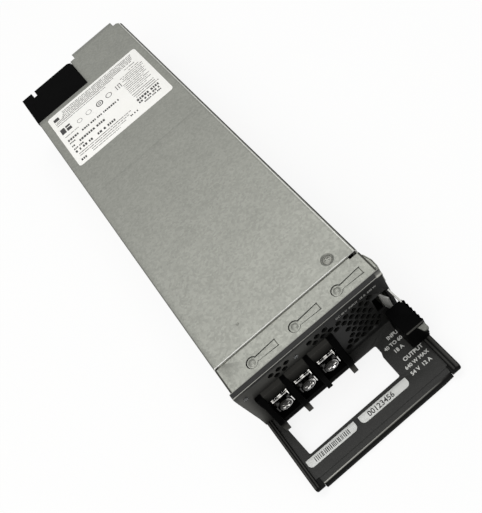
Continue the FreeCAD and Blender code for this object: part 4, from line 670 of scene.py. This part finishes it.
def capOutline(size):
    # straight inner side, rounded ends, and an outer side whose ribs are half circles
    low, high = size["y"]
    middle, reach = (low + high) / 2, size["pitch"] * size["ribs"] / 2
    y = np.linspace(low + 1.0, high - 1.0, 120)
    phase = np.abs((y - middle + reach) % size["pitch"] - size["pitch"] / 2)
    bulge = np.sqrt(np.clip(size["rib"] ** 2 - phase ** 2, 0, None)) * (np.abs(y - middle) < reach)
    corners = boxOutline(*size["x"], low, high, size["round"])
    half = len(corners) // 2
    return np.concatenate([corners[:half], np.stack([size["x"][1] + bulge, y], -1), corners[half:]])


points, faces = plate(capOutline(cap), *cap["z"], topRound=0.5, lowRound=0.4)
# painted highlight: the front edge of its top is made grey
atFront = points[:, 1] < cap["y"][0] + 0.6
atTop = np.abs(points[:, 2] - cap["z"][1] + 0.2) < 0.25
putMesh("latchThumbCap", (points, faces), "mouldedBlackPlastic", "black_plastic", body="latch",
        stands=["latch_cap"], sharp=50, values=cap["highlight"] * (atFront & atTop))


leaf = {
    "gauge": 0.8, "level": (15.5, 27.5), "tipLevel": (9.0, 18.5), "hookLevel": (20.5, 34.4),
    "path": [(38.95, 73.0), (38.95, 3.4), (36.45, -0.6), (36.45, -2.8), (38.0, -7.0), (41.0, -22.6)],
    "bend": [0.5, 1.6, 1.4, 1.2, 3.0, 0.5], "mainEnd": -8.0, "tipStart": -3.5,
    "hook": [(38.95, 14.2), (42.7, 14.6), (43.95, 9.5), (43.8, 4.6), (38.95, 4.2)],
    "hookBend": [0.2, 0.8, 3.0, 0.6, 0.2],
    "wing": [(40.9, -3.5), (42.4, -9.6)], "wingTop": (27.0, 19.0), "wingDeep": 1.6,
    "pad": [(38.4, -21.5), (40.2, -26.4), (42.2, -27.0), (42.9, -26.0), (42.9, -21.5)],
    "padRound": [0.2, 0.8, 0.8, 0.8, 0.2], "padLevel": (18.2, 19.0), "padShade": 0.6,
}


def roundPath(path, radii, steps=6):
    # an open path with an arc at each inner corner, as a closed outline has them
    return np.concatenate([path[:1], roundOutline(path, radii, steps)[steps + 1:-steps - 1], path[-1:]])


def strip(path, low, high, gauge, edge=0.12):
    # a band of sheet standing on a path in plan: the section (a thin upright rectangle with cut corners)
    # follows it; its first three points and the last one belong to the low edge, the others to the high edge
    ahead = unit(np.gradient(path, axis=0))
    side = np.stack([ahead[:, 1], -ahead[:, 0]], -1)
    half = gauge / 2
    across = np.array([edge - half, half - edge, half, half, half - edge, edge - half, -half, -half])
    rise = np.array([0, 0, edge, -edge, 0, 0, -edge, edge])
    atLow = np.isin(np.arange(8), (0, 1, 2, 7))
    low, high = [np.broadcast_to(level, len(path))[:, None] for level in (low, high)]
    z = np.where(atLow, low, high) + rise
    spots = path[:, None] + side[:, None] * across[None, :, None]
    return np.concatenate([spots, z[..., None]], -1).reshape(-1, 3), tubeFaces(len(path), 8)


leafPath = roundPath(leaf["path"], leaf["bend"])
hookPath = roundPath(leaf["hook"], leaf["hookBend"])
gauge = leaf["gauge"]
main = strip(leafPath[leafPath[:, 1] > leaf["mainEnd"]], *leaf["level"], gauge)
tip = strip(leafPath[leafPath[:, 1] < leaf["tipStart"]], *leaf["tipLevel"], gauge)
# the hook is a pressed pocket with a sloping back and a closed top; a narrow wing slopes from the panel's
# edge down into the cap, and the tip ends in a flat thumb pad in front of it
wingTop = np.linspace(*leaf["wingTop"], 6)
wing = strip(np.linspace(*np.array(leaf["wing"]), 6), wingTop - leaf["wingDeep"], wingTop, gauge)
hook = strip(hookPath, *leaf["hookLevel"], gauge)
roof = plate(hookPath[::-1], leaf["hookLevel"][1] - gauge, leaf["hookLevel"][1])
pad = plate(roundOutline(leaf["pad"], leaf["padRound"]), *leaf["padLevel"], 0.15, 0.15)
points, faces = joinShells([main, tip, wing, hook, roof, pad])
# painted shade: the hook, its roof and the pad take the darker galvanised finish, and the pad's points are
# darker still
shadedLeafFaces = np.arange(len(faces)) >= len(faces) - sum(len(shell[1]) for shell in (hook, roof, pad))
onPad = np.arange(len(points)) >= len(points) - len(pad[0])
putMesh("latchLeaf", (points, faces), "stainlessSpring", "stainless_spring", body="latch",
        stands=["latch_spring"], sharp=45, second=("galvanisedSheet", shadedLeafFaces), values=leaf["padShade"] * onPad)
print("leaf:", len(faces), "faces")


handleStrip = {"y": (-34.3, -29.9), "z": (4.0, 4.12), "round": [2.2, 2.2, 0.3, 0.3]}
labels = {
    "rating": {"x": (-36.4, 35.7), "y": (186.7, 243.4), "z": (40.0, 40.12), "round": 2.0},
    "handle_label_left": {"x": (-37.0, -9.0), **handleStrip},
    "handle_label_right": {"x": (-6.5, 21.2), **handleStrip},
    "ink": 0.01,  # print stands this much over its film
    "handleLevel": 4.012, "panelLevel": -3.22,  # Z of the print on the handle, Y of the print on the panel
    # marks on the rating label, from its lower left corner; rows of print are (left, right, base, height)
    "smallRows": [
        (11, 70, 53.6, 0.8), (11, 70, 52.1, 0.8), (10, 70, 50.6, 0.8), (9, 69, 49.1, 0.8),
        (3, 68, 47.6, 0.8), (3, 52, 46.1, 0.8), (52, 70, 40.0, 0.7), (53, 70, 38.2, 0.7),
        (52, 69, 36.4, 0.7), (54, 70, 34.8, 0.7), (3, 44, 44.2, 0.7), (58, 66, 44.6, 0.8),
        (60, 68, 42.0, 0.7), (51, 68, 33.0, 0.7), (51, 69, 31.2, 0.7), (51, 66, 29.4, 0.7),
        (51, 69, 27.6, 0.7), (51, 67, 25.8, 0.7), (51, 69, 24.0, 0.7), (51, 64, 22.2, 0.7),
        (3, 14, 30.4, 0.7), (4, 46, 9.4, 0.8), (4, 44, 7.4, 0.8), (12, 40, 5.4, 0.7),
        (12, 34, 3.4, 0.7), (51, 69, 19.6, 0.8), (51, 69, 17.6, 0.8), (52, 70, 15.4, 0.9)],
    "boldRows": [
        (3, 12, 25.2, 1.9), (14, 49, 25.0, 1.7), (3, 8, 22.4, 1.2), (9, 34, 18.6, 2.0),
        (3, 7, 18.6, 1.5), (3, 12, 15.4, 1.4), (3, 18, 12.0, 2.2), (20, 37, 12.0, 2.1),
        (3, 9, 3.0, 1.9), (42, 49, 5.0, 1.4), (51, 70, 11.9, 2.1), (51, 70, 9.2, 1.7),
        (54, 70, 6.9, 1.3)],
    "blocks": [  # (left, low, right, high)
        (3.0, 49.4, 7.0, 52.6), (2.6, 34.4, 6.0, 40.0), (6.8, 34.4, 10.4, 37.4),
        (6.8, 38.2, 10.4, 40.0), (46.5, 33.6, 47.0, 38.2), (48.2, 33.6, 48.7, 38.2),
        (49.9, 33.6, 50.4, 38.2), (48.2, 37.7, 50.4, 38.2)],
    "rings": [  # (x, y, radius, line)
        (16.5, 35.0, 1.9, 0.3), (24.0, 35.6, 2.1, 0.3), (32.7, 35.2, 2.6, 0.75), (32.7, 35.2, 1.0, 0.5),
        (40.4, 35.8, 2.3, 0.5)],
    "code": {"x": (-33.2, -13.4), "y": (-33.4, -30.9), "step": (0.26, 0.62), "wide": (0.26, 0.56)},
}


def labelSheet(size):
    # film with rounded corners and a slightly rounded upper edge
    return plate(boxOutline(*size["x"], *size["y"], size["round"], 8), *size["z"], topRound=0.04, steps=2)


def bars(boxes, level):
    # flat printed rectangles: rows of (left, low, right, high) at one level
    corners = boxes[:, [0, 1, 2, 1, 2, 3, 0, 3]].reshape(-1, 2)
    return np.column_stack([corners, np.full(len(corners), level)]), np.arange(len(corners)).reshape(-1, 4)


def greyLines(row, fill, letter):
    # a line of print as dashes: words of a few marks, with a wider gap after each word
    left, right, base, height = row
    marks = scatter.uniform(*letter, 200) * height
    gaps = np.where(scatter.random(200) < 0.22, 0.75, 0.22) * height
    ends = np.cumsum(marks + gaps)
    starts = ends - marks - gaps
    keep = ends < (right - left) * fill + height
    full = np.full(keep.sum(), base)
    return np.stack([left + starts[keep], full, left + starts[keep] + marks[keep], full + height], -1)


def ringMark(x, y, radius, line, level, count=36):
    # flat ring between two radii
    angle = np.arange(count) * 2 * np.pi / count
    circle = np.stack([np.cos(angle), np.sin(angle), np.zeros(count)], -1)
    points = np.concatenate([circle * radius, circle * (radius - line)]) + (x, y, level)
    return points, gridFaces(2, count, roundColumns=True)


rating = labels["rating"]
putMesh("ratingLabel", labelSheet(rating), "whiteLabelFilm", "white_label", stands=["rating_label"])
left, front = rating["x"][0], rating["y"][0]
inkLevel = rating["z"][1] + labels["ink"]
small = np.concatenate([greyLines(row, 0.95, (0.5, 1.1)) for row in labels["smallRows"]])
bold = [greyLines(row, 0.8, (0.45, 0.8)) for row in labels["boldRows"]]
bold = np.concatenate(bold + [labels["blocks"]])
for name, boxes, ink in (("ratingSmallPrint", small, "greyLabelInk"),
                         ("ratingBoldPrint", bold, "blackLabelInk")):
    putMesh(name, bars(boxes + [left, front, left, front], inkLevel), ink, "white_label", closed=False)
rings = [ringMark(left + x, front + y, radius, line, inkLevel) for x, y, radius, line in labels["rings"]]
putMesh("ratingRings", joinShells(rings), "blackLabelInk", "white_label", closed=False)

for node, name in (("handle_label_left", "handleLabelLeft"), ("handle_label_right", "handleLabelRight")):
    putMesh(name, labelSheet(labels[node]), "silverLabelFilm", "silver_label", stands=[node])
handleInk = handleStrip["z"][1] + labels["ink"]
code = labels["code"]
low, high = code["y"]
place = code["x"][0] + np.cumsum(scatter.uniform(*code["step"], 60))[::2]
place = place[place < code["x"][1]]
wide = scatter.uniform(*code["wide"], len(place))
marks = np.stack([place, np.full(len(place), low), place + wide, np.full(len(place), high)], -1)
putMesh("handleBarMarks", bars(marks, handleInk), "blackLabelInk", "silver_label", closed=False)


def lettering(name, lines, ink, axes, level, slotName):
    # plain words from Blender's own font as flat meshes in two axes, at a level of the third;
    # each line is (text, left, base, height), and capitals are 0.7 of the font's size
    shells = []
    for text, left, base, height in lines:
        curve = bpy.data.curves.new(name, "FONT")
        curve.body = text
        curve.size = 1.0
        curve.resolution_u = 3
        curve.offset = 0.022
        writer = bpy.data.objects.new(name, curve)
        flat = bpy.data.meshes.new_from_object(writer)
        placed = np.full((len(flat.vertices), 3), level)
        placed[:, axes] = meshArray(flat.vertices, "co")[:, :2] * height / 0.7 + (left, base)
        shells.append((placed, [list(polygon.vertices) for polygon in flat.polygons]))
        bpy.data.objects.remove(writer)
        bpy.data.curves.remove(curve)
        bpy.data.meshes.remove(flat)
    putMesh(name, joinShells(shells), ink, slotName, closed=False)


ratingWords = [("INPUT", 27.3, -10.8, 1.9), ("40 TO 60 V", 22.9, -14.4, 1.8), ("18 A", 25.6, -18.2, 1.9),
               ("OUTPUT", 26.1, -24.2, 1.95), ("640 W MAX", 24.1, -27.9, 1.75),
               ("54 V  12 A", 24.3, -31.7, 1.85)]
lettering("handleRatings", ratingWords, "whitePadInk", [0, 1], labels["handleLevel"],
          "black_painted_steel")
lettering("handleNumber", [("00123456", -2.0, -33.4, 2.6)], "blackLabelInk", [0, 1], handleInk,
          "silver_label")
lettering("panelPrint", [("DC 48 V  INPUT  18 A  640 W", 14.0, 35.0, 1.25)], "greyPadInk", [0, 2],
          labels["panelLevel"], "black_painted_steel")
print("print done")


panel = {
    "arc": (-2.3, 39.1, 0.9),  # centre in Y and Z and radius of the rounded top edge
    "highlight": ([-41.3, -33, -25, -9, -8.6, -8.2, 10, 30, 37, 41.3],
            [1.0, 1.0, 0.8, 0.7, 0.05, 0.65, 0.6, 0.7, 1.0, 1.0]),  # X, and share of the painted highlight line
    "highlightWide": ([-41.3, -39, 39, 39.6], [14, 8, 8, 40]),  # X, and its half width in degrees
    # next: shares of painted highlight on the rear edge and of painted sheen on the face
    "rearHighlight": 0.55, "lighten": 0.22, "face": -2.9,
    "slot": (37.1, 15.05, 27.95),  # left side, bottom and top of what moves with the latch slot's end
    "slotMove": ([37.2, 39, 39.6, 40.5, 41.3], [39.9, 40.1, 40.3, 40.5, 41.3]),
    "turns": (25, 35, 40, 45, 50, 55, 65),  # degrees on the arc where it is cut, for the painted highlight line
    "cutY": (-0.28, -0.36), "cutZ": (5.0, 12.0, 15.1, 27.9, 34.0, 37.5),
    "cutX": (-40.5, -39, -37, -35, -33, -25, -9, -8.6, -8.2, 10, 30, 37, 39, 39.6, 40.5),
}


def panelShapeAndLight(x, y, z):
    # points of the rounded top edge go to its true arc; a painted highlight line stands at 45 degrees on it,
    # brighter and wider at both ends and broken once; the rear edge has a painted highlight too, and a
    # painted sheen lies at the left and above
    middleY, middleZ, radius = panel["arc"]
    away = np.hypot(y - middleY, z - middleZ)
    onArc = (y < middleY + 0.01) & (z > middleZ - 0.01) & (away > 0.9 * radius)
    stretch = np.where(onArc, radius / np.maximum(away, 1e-6), 1.0)
    angle = np.degrees(np.arctan2(middleY - y, z - middleZ))
    front = bell(angle - 45, np.interp(x, *panel["highlightWide"])) * np.interp(x, *panel["highlight"])
    rear = panel["rearHighlight"] * ((y > -0.29) & (z > 39.9))
    atLeft = ramp(x, -35, -40.5) * np.interp(z, [5, 12, 34, 38.5], [0.3, 1, 1, 0.4])
    above = 0.5 * ramp(x, 10, -10) * ramp(z, 28, 34) * (z < 39)
    film = panel["lighten"] * np.maximum(atLeft, above) * (y < panel["face"])
    # the latch slot runs on to a narrow web at the right; the side edges stand out to the case walls, the
    # left one and the right corner most at the top
    slotX, slotLow, slotHigh = panel["slot"]
    inSlot = (x > slotX) & (z > slotLow) & (z < slotHigh)
    out = np.where(x > 0, 0.5 + 0.55 * ramp(z, 37.5, 39), -1.25 * ramp(z, 12, 36))
    movedX = np.where(inSlot, np.interp(x, *panel["slotMove"]), x)
    movedX = movedX + out * ramp(np.abs(x), 40.5, 41.25)
    wearAndLight = np.maximum.reduce([np.where(onArc & (angle < 75), front, 0), rear, film])
    return movedX, middleY + (y - middleY) * stretch, middleZ + (z - middleZ) * stretch, wearAndLight


collar = {
    "fingerX": (-26.1, -1.6, 22.9), "fingerY": 5.6, "pad": 2.6, "reach": 14.3, "neck": 2.0, "foot": 3.5,
    "drop": 0.45, "crease": 0.30, "creaseBack": 0.35, "margin": 0.15,
    "joggle": (14.6, 15.28, 0.9),  # front, rear and depth
    "wide": (-1.3, 1.45), "sideBendShade": 0.95, "cutY": (14.5, 14.64, 15.26, 15.36), "cutX": (39.5, 40.05, 40.15),
}


def collarShape(x, y, z):
    # a narrow joggle just ahead of the cover's edge; each finger hangs from a creased root and drops evenly
    # towards its pad; the sides stand out to the cover's skirts; painted shade darkens the zinc along both
    # side bends
    size, reach = collar, collar["reach"]
    front, rear, depth = size["joggle"]
    low = depth * ((y > front) & (y < rear) & (z > 39.1))
    for centre in size["fingerX"]:
        along, off = x - centre, np.abs(y - size["fingerY"])
        half = np.interp(along, [0, reach], [size["neck"] / 2, size["foot"] / 2])
        inside = (along >= 0) & (along < reach - 0.05) & (off < half + size["margin"])
        inside |= np.hypot(along, off) < size["pad"] + size["margin"]
        fall = size["drop"] * np.clip((reach - along) / reach, 0, 1.2)
        fall += size["crease"] * bell(reach - size["creaseBack"] - along, 0.12)
        low = np.where(inside, fall, low)
    out = np.where(x > 0, size["wide"][1], size["wide"][0]) * ramp(np.abs(x), 39.5, 40.45)
    dark = size["sideBendShade"] * ramp(np.abs(x), 40.05, 40.15) * (z > 38.5)
    return x + out * (y < cover["front"]), y, z - low, dark


def frontWalls(x, y, z):
    # ahead of the cover the side walls stand 1.3 further out, level with its skirts
    return x + np.sign(x) * 1.3 * (np.abs(x) > 39.6) * (y < 15.2), y, z, 0 * x


def connectorEnd(x, y, z):
    # the end by the cover's notch reaches 0.6 further
    return x + 0.6 * ramp(x, -10, -2), y, z, 0 * x


def blockShapeAndLight(x, y, z):
    # painted highlight: the lower front ends of the barriers are made pale; the body is lighter in a band
    # above each terminal; the underside of the body stands 0.6 higher than the barriers' feet
    dentAndEndLight = ramp(y, -11.3, -11.8) * np.interp(z, [4, 8, 12], [0.9, 0.7, 0])
    off = np.min([np.abs(x - centre) for centre in terminalX.values()], 0)
    lighten = 0.38 * (off < 5.25) * (y > -6.3) * ramp(z, 22.5, 24.5)
    lift = 0.6 * ramp(z, 12, 8) * (y > -11.25)
    return x, y, z + lift, np.maximum(dentAndEndLight, lighten)


def barHighlight(x, y, z):
    # painted highlight: the upper edge of a terminal bar is made bright in patches 2.4 apart
    patch = 0.7 + 0.3 * np.cos((x - x.min()) * 2 * np.pi / 2.4)
    return x, y, z, ramp(z - z.max(), -1.6, -1.3) * (y < -4.5) * patch


def clampHighlight(x, y, z):
    # painted highlights: a thinner bright line along the top of a clamp, and one down its right side
    above, right = ramp(z - z.max(), -0.5, -0.2), ramp(x - x.max(), -0.6, -0.4)
    return x, y, z, np.maximum(0.45 * above, right)


def cuts(axis, places):
    # planes square to one axis, for the slices of a soft copy
    return [(axis, place) for place in places]


middleY, middleZ, radius = panel["arc"]
arcCuts = cuts(1, [middleY - radius * np.sin(np.radians(turn)) for turn in panel["turns"]])
softCopy("front_panel", 0.12, arcCuts + cuts(1, panel["cutY"]) + cuts(2, panel["cutZ"])
         + cuts(0, panel["cutX"]), panelShapeAndLight)
sideCuts = cuts(0, [side * place for side in (-1, 1) for place in collar["cutX"]])
rootCuts = cuts(0, [centre + collar["reach"] - back for centre in collar["fingerX"]
                    for back in (0.1, collar["creaseBack"], 0.6)])
softCopy("front_collar", 0.08, cuts(1, collar["cutY"]) + sideCuts + rootCuts, collarShape,
         cut=("shearedSteelEdge", 39.9))
bandCuts = cuts(0, [x + step for x in terminalX.values() for step in (-5.6, -5.2, 5.2, 5.6)])
softCopy("terminal_block", 0.28, cuts(1, [-11.2]) + cuts(2, [8.0, 12.0]) + bandCuts, blockShapeAndLight)
softCopy("chassis_base", 0.12, cuts(1, [14.9, 15.25]), frontWalls)
softCopy("connector_housing", 0.35, mould=connectorEnd)
for side, x in terminalX.items():
    softCopy("terminal_clamp_" + side, 0.12, cuts(2, [20.0, 20.4]) + cuts(0, [x + 3.9, x + 4.1]), clampHighlight)
    patches = cuts(0, x + np.arange(-4.2, 4.3, 0.6))
    softCopy("terminal_bar_" + side, 0.12, cuts(2, [20.7, 21.0]) + patches, barHighlight)
    softCopy("terminal_washer_" + side, 0.10)
for node, item in cad.items():
    item.data.materials.clear()
    item.data.materials.append(paint[slotFinish[nodeSlot[node]]])
print("softened copies:", 5 + 3 * len(terminalX))


stage = {"reach": 3.0, "level": -0.00002, "glow": 0.85, "worldLevel": 0.42}  # in metres


def directRays(tree):
    # 1 for what the eye sees, also in metal and through glass; 0 for light sent on by matt surfaces
    seen = addNode(tree, "LightPath")
    mirrored = addNode(tree, "Math", {"operation": "MAXIMUM"},
                       {0: (seen, "Is Glossy Ray"), 1: (seen, "Is Transmission Ray")})
    return addNode(tree, "Math", {"operation": "MAXIMUM"}, {0: (seen, "Is Camera Ray"), 1: (mirrored, 0)})


def placement(right, up, back, place):
    # matrix of an object with these directions for its X, Y and Z, at a place in metres
    return Matrix([[*row, spot] for row, spot in zip(np.stack([right, up, back], 1), place)] + [[0, 0, 0, 1]])


reach, level = stage["reach"], stage["level"]
floorMesh = bpy.data.meshes.new("floor")
floorMesh.from_pydata([(-reach, -reach, level), (reach, -reach, level), (reach, reach, level),
                       (-reach, reach, level)], [], [(0, 1, 2, 3)])
floor = addObject("floor", floorMesh)
# paper sweep: mid grey to the light it sends on, plain white with the shadow to the eye, metal and glass
paper = bpy.data.materials.new("paperSweep")
tree = emptyTree(paper)
direct = directRays(tree)
share = addNode(tree, "Math", {"operation": "MULTIPLY", 1: stage["glow"]}, {0: (direct, 0)})
tint = addNode(tree, "Mix", {"data_type": "RGBA", 6: linear("#8a8a88"), 7: linear("#f6f6f4")},
               {0: (direct, 0)})
matt = addNode(tree, "BsdfDiffuse", {}, {"Color": (tint, 2)})
glow = addNode(tree, "Emission", {"Color": (1, 1, 1, 1), "Strength": 1.0})
blend = addNode(tree, "MixShader", {}, {0: (share, 0), 1: (matt, 0), 2: (glow, 0)})
addNode(tree, "OutputMaterial", {}, {"Surface": (blend, 0)})
floorMesh.materials.append(paper)

world = bpy.context.scene.world = bpy.data.worlds.new("studio")
tree = emptyTree(world)
bright = addNode(tree, "MapRange", {"To Min": stage["worldLevel"], "To Max": 1.0},
                 {"Value": (directRays(tree), 0)})
sky = addNode(tree, "Background", {"Color": (1, 1, 1, 1)}, {"Strength": (bright, 0)})
addNode(tree, "OutputWorld", {}, {"Surface": (sky, 0)})

lamps = {  # places and sizes in metres
    "overheadSoftbox": {"place": (0.05, 0.40, 0.85), "target": (0.0, 0.03, 0.03),
                        "size": (0.9, 0.5), "watts": 3.2},
    "cameraSideKey": {"place": (-0.60, -0.85, 1.15), "target": (0.0, 0.08, 0.02),
                      "size": (1.5, 1.5), "watts": 13.5},
}
for name, lamp in lamps.items():
    data = bpy.data.lights.new(name, "AREA")
    data.shape = "RECTANGLE"
    data.size, data.size_y = lamp["size"]
    data.energy = lamp["watts"]
    back = unit(np.array(lamp["place"]) - np.array(lamp["target"]))
    side = unit(np.cross((0.0, 1.0, 0.0), back))
    addObject(name, data).matrix_world = placement(side, np.cross(back, side), back, lamp["place"])

# the camera that was fitted to the photo; centre in mm, focal length in pixels of the longer side
view = {"centre": (-2.678, -178.378, 323.478), "right": (0.76212, -0.50424, -0.406097),
        "up": (0.64737, 0.584582, 0.489056), "back": (-0.009204, -0.635615, 0.771952), "focalPx": 764.23,
        "longPx": 513, "sensorMm": 36.0}
camera = bpy.data.cameras.new("camera")
camera.sensor_fit = "AUTO"
camera.sensor_width = view["sensorMm"]
camera.lens = view["focalPx"] * view["sensorMm"] / view["longPx"]
camera.clip_start = 0.01
camera.clip_end = 20.0
eye = addObject("camera", camera)
eye.matrix_world = placement(view["right"], view["up"], view["back"], np.array(view["centre"]) * mm)
bpy.context.scene.camera = eye
bpy.context.scene.view_settings.view_transform = "Standard"
print("stage set")
